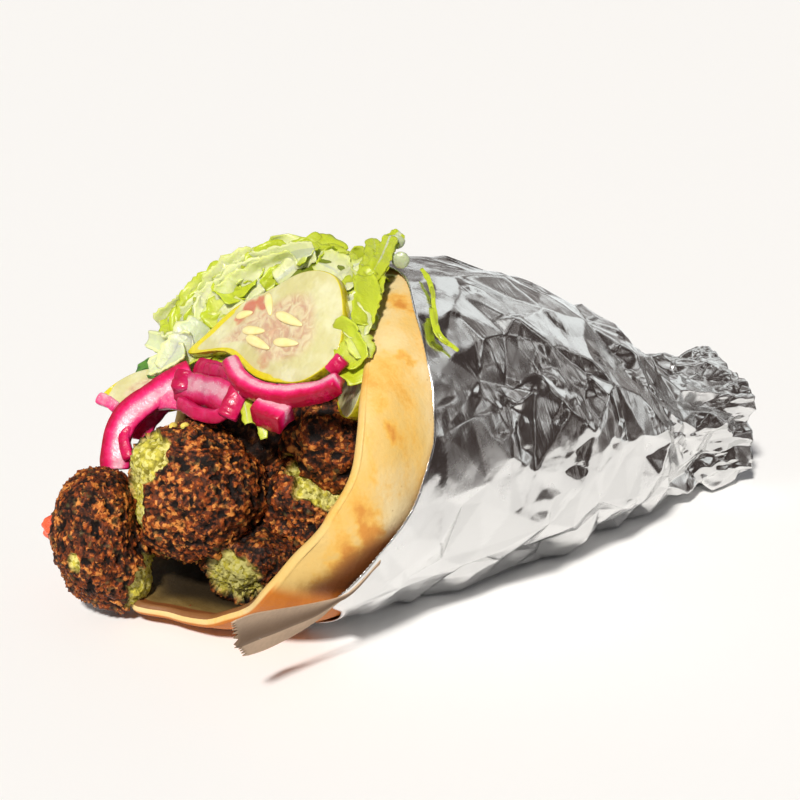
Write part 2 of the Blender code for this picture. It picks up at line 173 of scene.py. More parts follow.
# Shreds of lettuce that lean out past the pickle: path, width, how pale each is and how wide
# its rib.
LEAVES = (
    (((-50, 66.5, 72), (-49, 61.5, 75), (-46, 57, 77), (-40.5, 54.5, 79.5)), 8, 0.35, 0.0),
    (((-47, 70, 72.5), (-43.5, 67, 75.5), (-39.5, 63, 79), (-34.5, 59, 82.5)), 8, 0.75, 0.35),
    (((-53, 61, 73), (-52.5, 52.5, 75), (-49.5, 46.5, 77.5), (-45.5, 40.5, 79.5)), 5, 0.15, 0.0),
    (((-49.5, 55.5, 76), (-46.5, 51, 78.5), (-42, 48, 80.5), (-37.5, 43.5, 83.5)), 8, 0.85, 0.5),
    (((-45, 57.5, 78.5), (-40, 56, 81.5), (-37, 51.5, 84), (-32.5, 48.5, 87)), 7, 0.55, 0.0),
    (((-37.5, 60.5, 81.5), (-36.5, 56.5, 85), (-34.5, 55.5, 86), (-31, 54, 87)), 6, 0.05, 0.0),
    (((-52, 43.5, 77), (-49.5, 39.5, 79.5), (-46.5, 36, 81.5), (-42.5, 32.5, 84)), 6, 0.6, 0.2),
    (((-48, 42.5, 79.5), (-44.5, 39, 83), (-41, 36, 85.5), (-38, 32.5, 88)), 9, 0.8, 0.0),
    (((-36, 51, 85.5), (-32.5, 50, 88.5), (-29, 49.5, 91.5), (-26, 50.5, 94)), 8, 0.6, 0.4),
    (((-30, 57.5, 88.5), (-29, 54.5, 91.5), (-27.5, 51.5, 93.5), (-25, 49, 95)), 5, 0.1, 0.0),
    (((-28, 44.5, 96.5), (-30, 44, 93.5), (-33.5, 42, 91), (-37, 40, 87.5)), 6, 0.95, 0.9),
    (((-26, 41.5, 98.5), (-28, 39, 96.5), (-31, 36.5, 93.5), (-35, 35, 90)), 6, 0.2, 0.25),
    (((-26, 39.5, 95.5), (-22.5, 40, 98.5), (-21.5, 37, 100), (-22.5, 33, 98.5)), 7, 0.7, 0.0),
    (((-26, 33, 98.5), (-28.5, 28.5, 97), (-31, 23.5, 96), (-33, 18, 95)), 9, 0.05, 0.1),
    (((-27.5, 28, 95.5), (-23.5, 27.5, 98.5), (-20.5, 26, 101), (-17.5, 25, 102)), 8, 0.1, 0.0),
    (((-23.5, 19, 102), (-26.5, 18, 99.5), (-29.5, 17, 97.5), (-32, 16.5, 95.5)), 5, 0.95, 0.9),
    (((-22.5, 21, 101.5), (-22.5, 15, 102), (-23.5, 9.5, 101), (-25.5, 3, 99)), 8, 0.2, 0.0),
    (((-26.5, 14.5, 100), (-26.5, 9.5, 100), (-28.5, 3, 99), (-31.5, -2.5, 96.5)), 8, 0.15, 0.3),
    (((-39, 33, 89.5), (-37, 29.5, 92.5), (-34, 27.5, 95), (-31, 26, 97)), 14, 0.72, 0.0),
    (((-54.5, 42, 74), (-52.5, 40, 77), (-49.5, 39, 79), (-47, 37.5, 81)), 5, 0.1, 0.0),
    (((-39.5, 40, 86), (-37, 37, 89.5), (-33, 36, 93), (-29, 36.5, 96.5)), 9, 0.62, 0.3),
    (((-37.5, 60.5, 78.5), (-34, 56, 81.5), (-28.5, 53, 87), (-24.5, 50, 90.5)), 10, 0.5, 0.0),
    (((-15, 3.5, 107), (-19.5, -2, 105.5), (-25, -6, 103.5), (-30.5, -9, 101)), 4.5, 0.1, 0.25),
    (((-12.5, -1, 108), (-18, -5, 106), (-23, -8.5, 104.5), (-29, -11, 101.5)), 4, 0.12, 0.3),
    (((-7, 1.5, 108), (-11.5, 0, 106.5), (-17.5, -4.5, 105), (-23, -8, 103)), 4, 0.2, 0.5),
    (((-29, 0.5, 100), (-28, -1.5, 101.5), (-26, -3, 102.5), (-22.5, -3.5, 103.5)), 5, 0.6, 0.8),
    (((-34, -4, 96.5), (-32.5, -6.5, 98.5), (-31, -9, 100.5), (-28, -10, 103)), 6, 0.3, 0.1),
    (((-31.5, -12, 101.5), (-34.5, -16.5, 99), (-37.5, -19, 97), (-41, -22, 94)), 6, 0.02, 0.1),
    (((-37.5, -8.5, 95), (-38, -12, 96), (-37, -14, 97.5), (-35, -14.5, 99)), 3.2, 1.0, 1.0),
    (((-33, -4.5, 96), (-33.5, -8.5, 95.5), (-36, -13.5, 94), (-39, -20, 91.5)), 9, 0.0, 0.0),
    (((-41, -13, 93.5), (-41, -16, 94), (-41.5, -19, 93), (-43, -23.5, 91)), 7, 0.8, 0.5),
    (((-46.5, -17, 89), (-46.5, -20.5, 90), (-47.5, -24, 88.5), (-49, -29, 86)), 8, 0.15, 0.0),
    (((-44.5, -19.5, 91), (-44.5, -23, 91), (-46, -26.5, 89), (-47.5, -29.5, 87)), 6, 0.55, 0.3),
    (((-45, -18.5, 86.5), (-46.5, -22.5, 84.5), (-48, -27, 83),
      (-49.5, -30.5, 80.5)), 8, 0.0, 0.0),
    (((-33.5, -17, 97.5), (-29.5, -13.5, 99.5), (-25.5, -10, 101.5),
      (-21, -6.5, 103.5)), 5, 0.05, 0.0),
    (((-23.5, 6, 102), (-27, -0.5, 101), (-30.5, -6, 99.5), (-33.5, -7.5, 97)), 6, 0.35, 0.0),
    (((-31.5, -0.5, 98), (-30.5, -2, 99), (-29.5, -5.5, 100.5), (-27, -6.5, 102)), 6, 0.95, 0.8),
    (((-39.5, 31, 89.5), (-35.5, 29.5, 92.5), (-32, 27, 96), (-27.5, 25.5, 98.5)), 8, 0.65, 0.0),
    (((-38, 26, 93), (-34.5, 24.5, 95.5), (-31.5, 21.5, 98), (-28.5, 18, 100.5)), 6, 0.1, 0.2),
    (((-36, 21.5, 95.5), (-32.5, 19, 98.5), (-30, 16, 100.5), (-27.5, 11, 101.5)), 7, 0.8, 0.35),
    (((-31, 19, 98.5), (-28.5, 16.5, 100.5), (-26, 13, 102), (-24.5, 8, 103)), 7, 0.3, 0.0),
    (((-29.5, 10, 102), (-30, 5, 102), (-30.5, 0, 101), (-33, -6, 99.5)), 7, 0.75, 0.3),
    (((-22.5, 29.5, 100), (-20, 27, 102), (-18.5, 23, 102.5), (-18.5, 17, 102)), 7, 0.2, 0.0),
)
# Cut ends of rib on the foil's edge: place and half sizes.
RIB_ENDS = (((-14.5, -8.5, 103.8), (2.7, 1.3, 2.6)), ((-8.5, 0.8, 106.4), (3.0, 1.3, 2.2)))
# Pale leaves by the rib chunk, bits that hang out of the onions, and the herb leaf by the
# left pickle, all given as the shreds are.
RIB_LEAVES = (
    (((-55, 40, 80), (-59, 40, 76.5), (-62, 41, 73), (-65.5, 42.5, 69)), 8.5, 1.0, 1.0),
    (((-58.5, 40.5, 77), (-60.5, 44.5, 75.5), (-61.5, 48.5, 74), (-61.5, 55, 73.5)), 5, 1.0, 1.0),
    (((-62, 39.5, 73.5), (-64, 42.5, 71.5), (-66.5, 47.5, 68)), 5.5, 1.0, 1.0),
)
HANGING_LEAVES = (
    (((-67, 1.5, 70.5), (-68.5, -2, 68), (-70, -4.5, 66)), 3.0, 0.3, 0.3),
    (((-68.5, -7, 68), (-69.5, -10, 66), (-70.5, -12, 63.5)), 2.2, 0.4, 0.3),
    (((-69, -5.5, 66.5), (-69, -8, 66.5), (-68, -10, 68)), 2.0, 0.3, 0.2),
)
HERB_LEAVES = (
    (((-63, 61.5, 62.5), (-61.5, 59, 64), (-61, 54, 63.5), (-61.5, 50.5, 63)), 6.5, 0.0, 0.0),
    (((-62.5, 59.5, 62.5), (-64, 54, 61), (-65, 51.5, 60.5)), 1.2, 0.2, 0.0),
)

# Toasted spots on the bread: x, degrees round the body and radius.
TOAST_SPOTS = (
    (-39, 154, 4), (-42, 147, 4), (-43, 150, 3), (-25, 160, 3), (-37, 136, 1.6),
    (-25, 165, 3), (-74, 93, 6), (-77, 88, 5), (-83, 84, 6), (-89, 80, 6),
    (-79, 79, 6), (-67, 96, 4), (-62, 104, 3), (-94, 78, 5), (-72, 83, 6),
    (-52, 124, 2), (-57, 128, 2), (-52, 113, 2), (-62, 82, 5), (-68, 76, 5),
)

SPRIG_LIFT = 1.6        # the sprig lies this far over the foil
# The sprig: path as (x, degrees round the body), width.
SPRIG = (
    (((-12, 167), (-14, 162), (-16, 158), (-18, 154)), 1.15),
    (((-17, 156), (-20, 151), (-22, 147), (-24, 143)), 0.9),
    (((-23, 147), (-25, 142), (-26, 138), (-25, 135)), 1.6),
    (((-26, 138), (-26, 136), (-24, 133), (-23, 131)), 1.0),
)

# The paper-lined corner of the foil that hangs out over the bread: upper edge, valley and
# lower edge, from its cut end to where it joins the sleeve.
FLAP = (
    ((-111.9, -52.7, 34), (-104.2, -51.8, 33.1), (-91.9, -50.5, 30.1), (-81.7, -49.6, 28),
     (-73.6, -49, 26.7), (-68.5, -49.7, 28.3), (-61, -51.9, 35)),
    ((-107.5, -47.7, 24.1), (-99.3, -47.1, 23.5), (-89.2, -46.7, 23), (-80.2, -46.9, 23.3),
     (-74.3, -47.9, 25), (-68.4, -48.9, 26.7), (-60.8, -51.6, 34.2)),
    ((-100.2, -41.6, 15), (-92.9, -39.5, 13.3), (-87.5, -41.1, 14.8), (-83.2, -43.2, 17.1),
     (-77.9, -45.6, 20.3), (-72.6, -48, 24.5), (-61, -51.4, 33.4)),
)
FLAP_FACE = (-0.62, -0.70, 0.36)    # its paper side looks this way
FLAP_ROWS = 29
FLAP_COLUMNS = 110
FLAP_TOOTH = 1.9
FLAP_SHEET = 0.3
FLAP_VALLEY = 0.47                  # the painted shade along its fold is centred this far down
# Pepper specks: places. Bits of chickpea: place, half sizes and turn. Crumbs: place and size.
PEPPER = ((-65.5, 25, 71), (-69.5, 17, 69), (-70, 17, 67.5), (-68.5, 14.5, 70), (-62.5, 19, 73),
          (-67, 19.5, 70.5), (-65.5, 0, 76), (-65, -1.5, 77), (-64.5, -11.5, 77.5),
          (-83, 47, 51), (-82, 46, 52), (-72.5, 24.5, 65), (-71.5, 12, 66), (-66, 3, 77.5),
          (-61.5, -20, 78.5), (-75, 43.5, 61.5), (-70, 22, 66.5), (-68, 9, 72))
CHICKPEAS = (((-79, 21, 58.5), (3.0, 1.4, 1.3), 0.7), ((-77, 17.5, 59.5), (1.6, 1.2, 1.0), 0.2))
CRUMBS = ((-86, 6, 7.2, 0.9), (-88.5, 10, 6.8, 0.6), (-82, -2, 7.6, 0.7), (-84, 2, 7.2, 0.5),
          (-79, -6, 8.2, 0.8), (-90, 14, 6.2, 0.5), (-75, -9, 9, 0.6), (-80.5, 1, 7.6, 0.4))


def working_shift():
    """From the working frame's zero to the frame's origin, found from two solids."""
    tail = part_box("foil_wrap")[1].x / MM
    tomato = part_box("tomato_piece")[1].y / MM
    return np.array((tail - TAIL_X, tomato - TOMATO_FAR_Y, 0.0))


SHIFT = working_shift()


# ---------------------------------------------------------------- settings

def length(label, text, default):
    return FloatProperty(name=label, description=text, default=default, min=0.0,
                         unit="LENGTH", precision=5)


def colour(label, text, default):
    return FloatVectorProperty(name=label, description=text, default=default, size=3,
                               subtype="COLOR", min=0.0, max=1.0)


class WrapSizes(bpy.types.PropertyGroup):
    """Sizes that a user would change."""
    foil_fold: length("Foil folds", "Height of the long folds in the foil", 0.0048)
    foil_crease: length("Foil creases", "Height of the small creases in the foil", 0.0028)
    foil_tooth: length("Foil teeth", "Depth of the foil's cut teeth", 0.0008)
    tail_crumple: length("Tail crumple", "Depth of the crumples in the foil's tail", 0.0028)
    bread_thickness: length("Bread", "Thickness of the pita's wall", 0.0062)
    crust_grain: length("Crust grains", "Height of the grains of the falafel crust", 0.0015)


class WrapColours(bpy.types.PropertyGroup):
    """Colours that a user would change."""
    foil: colour("Foil", "Colour of the metal", (0.82, 0.82, 0.815))
    paper: colour("Paper", "Colour of the foil's paper backing", (0.56, 0.40, 0.27))
    bread: colour("Bread", "Colour of the pita where it isn't toasted", (0.70, 0.47, 0.150))
    toast: colour("Toast", "Colour of the pita's toasted patches", (0.60, 0.23, 0.030))
    crust: colour("Crust", "Colour of the falafel crust's grains", (0.190, 0.034, 0.006))
    # Near black: partly the crust's own dark crevices, partly painted shade in them.
    pit: colour("Crust pits", "Colour between the crust's grains", (0.006, 0.0022, 0.0012))
    crumb: colour("Crumb", "Colour of the falafel inside its crust", (0.66, 0.58, 0.075))
    onion_skin: colour("Onion skin", "Colour of the pickled onion's skin", (0.64, 0.003, 0.095))
    onion_flesh: colour("Onion flesh", "Colour of the pickled onion's flesh", (0.72, 0.18, 0.30))
    pickle_flesh: colour("Pickle flesh", "Colour of the pickle's cut face", (0.60, 0.56, 0.26))
    pickle_rind: colour("Pickle rind", "Colour of the pickle's rind", (0.46, 0.38, 0.008))
    leaf: colour("Lettuce leaf", "Colour of the lettuce's leaf", (0.46, 0.56, 0.022))
    leaf_rib: colour("Lettuce rib", "Colour of the lettuce's pale ribs", (0.55, 0.61, 0.40))
    tomato: colour("Tomato", "Colour of the tomato", (0.80, 0.05, 0.02))


# ---------------------------------------------------------------- curves and noise

NOISE_APART = (13.7, 7.1, 3.3)      # one seed's noise lies this far from the next one's
CELLS_APART = (5.3, 11.9, 2.7)


def smooth_step(value):
    value = np.clip(value, 0.0, 1.0)
    return value * value * (3.0 - 2.0 * value)


def cubic(before, start, end, after, part):
    """Catmull-Rom curve from start to end."""
    return 0.5 * (2 * start + (end - before) * part
                  + (2 * before - 5 * start + 4 * end - after) * part ** 2
                  + (3 * start - before - 3 * end + after) * part ** 3)


def read_curve(places, values, at):
    """Reads a smooth curve, given as values at rising places, at an array of places."""
    index = np.clip(np.searchsorted(places, at, side="right") - 1, 0, len(places) - 2)
    before = values[np.maximum(index - 1, 0)]
    after = values[np.minimum(index + 2, len(places) - 1)]
    part = (at - places[index]) / (places[index + 1] - places[index])
    return cubic(before, values[index], values[index + 1], after, part)


def along(points, share):
    """The point at a share (0 to 1) of an open smooth curve through the points."""
    last = len(points) - 1
    index = min(int(share * last), last - 1)
    around = [Vector(points[min(max(index + step, 0), last)]) for step in (-1, 0, 1, 2)]
    return cubic(*around, share * last - index)


def axes_along(points, share, near, face):
    """A curve's point at a share, and the side and up directions of a strip that lies along
    it with its wide face towards face."""
    ahead = along(points, min(share + near, 1.0)) - along(points, max(share - near, 0.0))
    ahead.normalize()
    side = ahead.cross(Vector(face)).normalized()
    return along(points, share), side, side.cross(ahead).normalized()


def steps_along(points, spacing):
    """How long a path is, and into how many steps it is cut."""
    reach = sum((Vector(a) - Vector(b)).length for a, b in zip(points, points[1:]))
    return reach, max(int(reach / spacing), 8)


def noise_at(points, spacing, seed=0):
    """Smooth noise at an array of points, with lumps about spacing apart."""
    moved = points / spacing + np.array(NOISE_APART) * seed
    return np.array([noise.noise(point) for point in moved.tolist()])


def cells_at(points, spacing, seed=0):
    """For scattered cells: how far the nearest and the next centre are, and a number from 0
    to 1 that belongs to the nearest."""
    moved = points / spacing + np.array(CELLS_APART) * seed
    found = []
    for point in moved.tolist():
        far, centres = noise.voronoi(point)
        mark = math.sin(centres[0].x * 12.99 + centres[0].y * 78.23 + centres[0].z * 37.72)
        found.append((far[0], far[1], (mark * 4375.85) % 1.0))
    return np.array(found).T


# ---------------------------------------------------------------- the wrapped body

def signed_power(value):
    return np.sign(value) * np.abs(value) ** (2.0 / SECTION_POWER)


def raw_point(x, angle, inset):
    centre, width, height = (read_curve(SECTIONS[:, 0], SECTIONS[:, column],
                                        np.clip(x, SECTIONS[0, 0], SECTIONS[-1, 0]))
                             for column in (1, 2, 3))
    y = centre - (width / 2 - inset) * signed_power(np.sin(angle))
    z = height / 2 - (height / 2 - inset) * signed_power(np.cos(angle))
    return y, np.maximum(z, inset + FLAT_DEPTH) - FLAT_DEPTH


def body_points(x, angle, inset):
    """Points of the body's surface, moved in by inset, at angles from the table."""
    y, z = raw_point(x, angle, inset)
    outer_y, outer_z = raw_point(x, angle, 0.0)
    spread = smooth_step((SPLAY_START - x) / SPLAY_LENGTH) * smooth_step((outer_y - 5) / 45)
    low = 1.0 - smooth_step(outer_z / 60)
    z = np.maximum(z - SPLAY_DROP * spread * low * outer_z, 0.0)
    return np.stack(np.broadcast_arrays(x, y, z), axis=-1)


def rim_at(rim, angle):
    """How far a sheet reaches at an array of angles."""
    places, values = np.array(rim, float).T
    turn = 360.0
    places = np.concatenate((places[-2:] - turn, places, places[:2] + turn))
    values = np.concatenate((values[-2:], values, values[:2]))
    return read_curve(places, values, np.degrees(angle) % turn)


# ---------------------------------------------------------------- making meshes

def to_frame(points):
    """Working millimetres to the frame's metres."""
    return (np.asarray(points, float) + SHIFT) * MM


def strip_faces(rows, columns, start=0, closed=True):
    """Quads of a net of points, row after row, whose columns may close into a ring."""
    around = columns if closed else columns - 1
    row = np.arange(rows - 1)[:, None] * columns + start
    first = np.arange(around)[None, :]
    second = (first + 1) % columns
    quads = np.stack((row + first, row + second, row + columns + second, row + columns + first),
                     axis=-1)
    return quads.reshape(-1, 4).tolist()


def fan_faces(ring, middle, flip=False):
    """Triangles from a ring of points to its middle point."""
    beside = list(ring[1:]) + [ring[0]]
    return [(b, a, middle) if flip else (a, b, middle) for a, b in zip(ring, beside)]


def close_tube(rings):
    """Points and faces of a tube whose ends are closed by fans."""
    rows, columns = rings.shape[:2]
    middles = [rings[0].mean(axis=0), rings[-1].mean(axis=0)]
    points = np.concatenate((rings.reshape(-1, 3), middles))
    faces = strip_faces(rows, columns)
    ring = np.arange(columns)
    faces += fan_faces(ring.tolist(), rows * columns, flip=True)
    faces += fan_faces(((rows - 1) * columns + ring).tolist(), rows * columns + 1)
    return points, faces


def add_object(name, data):
    holder = bpy.data.objects.new(name, data)
    bpy.context.scene.collection.objects.link(holder)
    return holder


def new_object(name, points, faces, materials):
    """A mesh object at the origin, from points in working millimetres."""
    mesh = bpy.data.meshes.new(name)
    mesh.from_pydata(to_frame(points).tolist(), [], faces)
    for made in materials:
        mesh.materials.append(made)
    mesh.shade_smooth()
    return add_object(name, mesh)


def set_attribute(piece, name, values):
    """Stores one number for each point, for the piece's material to read."""
    attribute = piece.data.attributes.new(name, "FLOAT", "POINT")
    attribute.data.foreach_set("value", np.asarray(values, np.float32))


def set_constant(piece, name, value):
    set_attribute(piece, name, np.full(len(piece.data.vertices), value))


def set_tube_attribute(piece, name, values, first_end=0.0, last_end=0.0):
    """The same for a closed tube: its rings' numbers, then those of its two end points."""
    set_attribute(piece, name, np.append(np.array(values).ravel(), (first_end, last_end)))


def face_outwards(piece):
    bm = bmesh.new()
    bm.from_mesh(piece.data)
    bmesh.ops.recalc_face_normals(bm, faces=bm.faces)
    bm.to_mesh(piece.data)
    bm.free()


def select_none():
    bpy.ops.object.select_all(action="DESELECT")


def select_only(piece):
    select_none()
    piece.select_set(True)
    bpy.context.view_layer.objects.active = piece


def read_points(piece):
    """A piece's points as an array, in its mesh's own units."""
    flat = np.zeros(len(piece.data.vertices) * 3)
    piece.data.vertices.foreach_get("co", flat)
    return flat.reshape(-1, 3)


def write_points(piece, points):
    """Puts working millimetres into a piece's mesh."""
    piece.data.vertices.foreach_set("co", to_frame(points).ravel())
    piece.data.update()


def turned(points, angle):
    """The points turned about the upright axis."""
    cos, sin = math.cos(angle), math.sin(angle)
    x = points[:, 0] * cos - points[:, 1] * sin
    y = points[:, 0] * sin + points[:, 1] * cos
    return np.stack((x, y, points[:, 2]), axis=-1)


def join_pieces(name, pieces):
    """Joins several objects into one that stands at the origin."""
    select_none()
    for piece in pieces:
        piece.select_set(True)
    bpy.context.view_layer.objects.active = pieces[0]
    if len(pieces) > 1:
        bpy.ops.object.join()
    joined = bpy.context.view_layer.objects.active
    joined.name = joined.data.name = name
    return joined


def apply_modifier(piece, kind, **settings):
    """Adds one modifier with these settings and applies it."""
    select_only(piece)
    modifier = piece.modifiers.new(kind.title(), kind)
    for setting, value in settings.items():
        setattr(modifier, setting, value)
    bpy.ops.object.modifier_apply(modifier=modifier.name)


def place_piece(piece, slot, *nodes):
    """Parents a finished piece to the root empty, and hides the parts of the solid model that it
    stands for.
    """
    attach(piece, "root")
    if nodes:
        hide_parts(*nodes)
    return piece


# ---------------------------------------------------------------- making materials

class Socket:
    """A shader socket. Arithmetic on it adds Math nodes to its node tree."""

    def __init__(self, nodes, link):
        self.nodes = nodes
        self.link = link

    def __add__(self, other):
        return self.nodes.maths("ADD", self, other)

    def __sub__(self, other):
        return self.nodes.maths("SUBTRACT", self, other)

    def __rsub__(self, other):
        return self.nodes.maths("SUBTRACT", other, self)

    def __mul__(self, other):
        return self.nodes.maths("MULTIPLY", self, other)

    def __truediv__(self, other):
        return self.nodes.maths("DIVIDE", self, other)

    def __rtruediv__(self, other):
        return self.nodes.maths("DIVIDE", other, self)

    def __pow__(self, other):
        return self.nodes.maths("POWER", self, other)

    __radd__ = __add__
    __rmul__ = __mul__


class Nodes:
    """A node tree that is built up from its sockets."""

    def __init__(self, tree):
        self.tree = tree

    @staticmethod
    def socket_name(label):
        return label.replace("_", " ").title().replace("Ior", "IOR")

    def add(self, kind, settings=None, output=0, **values):
        """One node: its settings are set first, then its sockets get values or links."""
        node = self.tree.nodes.new("ShaderNode" + kind)
        for name, value in (settings or {}).items():
            if name == "stops":
                self.set_stops(node.color_ramp, value)
            else:
                setattr(node, name, value)
        for name, value in values.items():
            key = int(name[1:]) if name[1:].isdigit() else self.socket_name(name)
            self.feed(node.inputs[key], value)
        return Socket(self, node.outputs[output])

    def feed(self, socket, value):
        if isinstance(value, Socket):
            self.tree.links.new(value.link, socket)
        elif socket.type == "RGBA":
            socket.default_value = (*value, 1.0)
        else:
            socket.default_value = value

    @staticmethod
    def set_stops(ramp, stops):
        while len(ramp.elements) < len(stops):
            ramp.elements.new(1.0)
        for element, (place, shade) in zip(ramp.elements, stops):
            element.position = place
            element.color = (*shade, 1.0)

    def maths(self, operation, first, second):
        return self.add("Math", dict(operation=operation), i0=first, i1=second)

    def step(self, value, low, high):
        """0 below low, 1 above high, smooth between."""
        settings = dict(interpolation_type="SMOOTHSTEP")
        return self.add("MapRange", settings, value=value, i1=low, i2=high)

    def mix(self, share, first, second):
        """A mixed colour."""
        return self.add("Mix", dict(data_type="RGBA"), output=2, i0=share, i6=first, i7=second)

    def stretch(self, vector, scale, turn=(0.0, 0.0, 0.0)):
        return self.add("Mapping", vector=vector, scale=scale, rotation=turn)

    def noise(self, vector, scale, detail=3.0, roughness=0.5, distortion=0.0):
        return self.add("TexNoise", vector=vector, scale=scale, detail=detail,
                        roughness=roughness, distortion=distortion)

    def cells(self, vector, scale):
        return self.add("TexVoronoi", vector=vector, scale=scale)

    def lot(self, vector, scale):
        """One number for each scattered cell."""
        cell = self.cells(vector, scale)
        return self.add("SeparateColor", i0=Socket(self, cell.link.node.outputs["Color"]))


class Finish(Nodes):
    """A procedural material: a Principled shader and the nodes that feed it."""

    def __init__(self, name, **constants):
        self.material = bpy.data.materials.new(name)
        self.material.use_nodes = True
        super().__init__(self.material.node_tree)
        self.shader = self.tree.nodes["Principled BSDF"]
        for label, value in constants.items():
            self.shader.inputs[self.socket_name(label)].default_value = value

    def place(self):
        """Where on the object: Object coordinates, in metres."""
        return self.add("TexCoord", output=3)

    def read(self, name):
        """A number stored on the piece's points."""
        return self.add("Attribute", dict(attribute_name=name), output=2)

    def bump(self, height, distance, strength):
        return self.add("Bump", height=height, distance=distance, strength=strength)

    def use(self, **values):
        """Feeds the shader's own sockets and returns the material."""
        for label, value in values.items():
            self.feed(self.shader.inputs[self.socket_name(label)], value)
        return self.material


def hue(name):
    return tuple(getattr(bpy.context.scene.wrap_colours, name))


def sizes():
    return bpy.context.scene.wrap_sizes


# ---------------------------------------------------------------- foil

FOIL_ROUND = 400        # points round the foil
FOIL_ROWS = 214         # and along it
FOIL_CLOSER = 105       # the points lie closest here, in degrees
FOIL_CROWD = 0.42       # and by this much
FOIL_START = 0.7        # the foil lies this far inside the solid where it is smooth
FOIL_SHEET = 0.3        # between the foil and its paper side, at the rim
GIRTH = 330.0           # round the thick part of the wrap

# Crumples: how far apart their corners lie, how much further along than across, and which way
# along is, as (along X, round the body).
FOLD_RUN = (0.21, -0.98)
FOLDS = dict(seed=8, spacing=5.6, stretch=3.8, way=FOLD_RUN)
CROSS_FOLDS = dict(seed=21, spacing=7, stretch=2.2, way=(0.75, -0.66))
FINE_FOLDS = dict(seed=12, spacing=3.2, stretch=1.5, way=FOLD_RUN)
FOLD_SAG = 2.2          # the folds of the lower half stand out by this much more
FOLD_ENDS = (-130, 150)     # corners are laid out between these
FOLD_OVERLAP = 50       # corners this near the seam are repeated past it
CORNER_SHIFT = 0.42     # how far a corner strays from its place, in spacings

TAIL_RINGS = 8          # rings of points over the tail's end
LINED_ROWS = 9          # rows of the paper side that follow the foil
LINING_ROWS = 10        # and plain ones behind them
LINING_END = 60         # the lining stops here, hidden behind the filling
LINING_INSET = (2.9, 5)     # how far in it lies at its start, and how much more behind


def tail_share(x):
    """0 on the body, 1 on the crushed tail."""
    return smooth_step((x - 84) / 16)


def scattered_corners(seed, spacing, stretch, way):
    """Corners of a crumpled sheet: x, distance round the body, and a height from -0.5 to 0.5.

    They lie further apart along the way by the stretch, and repeat round the body."""
    chance = random.Random(seed)
    run = np.array(way) / np.linalg.norm(way)
    side = np.array((-run[1], run[0]))
    corners = []
    reach = int(260 / spacing)
    for across, down in itertools.product(range(-reach, reach), repeat=2):
        offset = (across + chance.uniform(-CORNER_SHIFT, CORNER_SHIFT)) * spacing
        push = down + 0.5 * (across % 2) + chance.uniform(-CORNER_SHIFT, CORNER_SHIFT)
        height = chance.choice((-0.5, 0.5)) * chance.uniform(0.35, 1.0)
        x, around = side * offset + run * (push * spacing * stretch) + (10, GIRTH / 2)
        if FOLD_ENDS[0] < x < FOLD_ENDS[1] and 0 <= around < GIRTH:
            corners.append((x, around, height))
    found = np.array(corners)
    near_start = found[found[:, 1] < FOLD_OVERLAP] + (0, GIRTH, 0)
    near_end = found[found[:, 1] > GIRTH - FOLD_OVERLAP] - (0, GIRTH, 0)
    return np.concatenate((found, near_start, near_end))


def spread_flat(x, around, corners, values):
    """Fills the triangles between the corners with their values; a random tone for each, for the
    foil's painted reflection.
    """
    places = [Vector(corner[:2]) for corner in corners.tolist()]
    points, _, triangles, origins, _, _ = geometry.delaunay_2d_cdt(places, [], [], 0, 1e-4)
    order = [origin[0] for origin in origins]
    filled = np.zeros(x.shape + values.shape[1:])
    tones = np.zeros_like(x)
    for triangle in triangles:
        (ax, ay), (bx, by), (cx, cy) = (points[i] for i in triangle)
        first, last = np.searchsorted(around, (min(ay, by, cy), max(ay, by, cy)))
        spread = (bx - ax) * (cy - ay) - (cx - ax) * (by - ay)
        if first == last or abs(spread) < 1e-9:
            continue
        block = x[:, first:last]
        beside = around[None, first:last] - ay
        share_b = ((block - ax) * (cy - ay) - (cx - ax) * beside) / spread
        share_c = ((bx - ax) * beside - (block - ax) * (by - ay)) / spread
        inside = (share_b >= 0) & (share_c >= 0) & (share_b + share_c <= 1)
        at, to_b, to_c = (values[order[i]] for i in triangle)
        to_b, to_c = to_b - at, to_c - at
        filled[:, first:last][inside] = (at + np.multiply.outer(share_b[inside], to_b)
                                         + np.multiply.outer(share_c[inside], to_c))
        tones[:, first:last][inside] = sum(corners[order[i], 2] for i in triangle) * 97.0 % 1.0
    return filled, tones


def fold_heights(corners):
    """How far each corner of the folded sheet stands out, in millimetres."""
    size = sizes()
    waves = noise_at(np.column_stack((corners[:, :2], np.zeros(len(corners)))), 22, 6)
    tail = tail_share(corners[:, 0])
    pleats = np.where(np.arange(len(corners)) % 2 == 0, 0.5, -0.5) * size.tail_crumple / MM
    return (size.foil_fold / MM * waves * (1 - 0.5 * tail)
            + size.foil_crease / MM * corners[:, 2] + tail * pleats)


def foil_relief(x, around, degrees):
    """The creases across the long folds and the fine ones, in millimetres."""
    cross = scattered_corners(**CROSS_FOLDS)
    fine = scattered_corners(**FINE_FOLDS)
    cross_relief, _ = spread_flat(x, around, cross, cross[:, 2])
    fine_relief, _ = spread_flat(x, around, fine, fine[:, 2])
    places = np.stack((x, np.broadcast_to(around, x.shape), np.zeros_like(x)), axis=-1)
    patches = noise_at(places.reshape(-1, 3), 26, 6).reshape(x.shape)
    crushed = smooth_step((patches - 0.05) / 0.3)
    tail = tail_share(x)
    upper = np.maximum(smooth_step((degrees - 70) / 22), tail)
    relief = 0.45 * cross_relief + (0.12 + 0.24 * crushed) * fine_relief
    return sizes().foil_crease / MM * relief * (0.4 + 0.6 * upper) * (1 + 0.8 * tail)


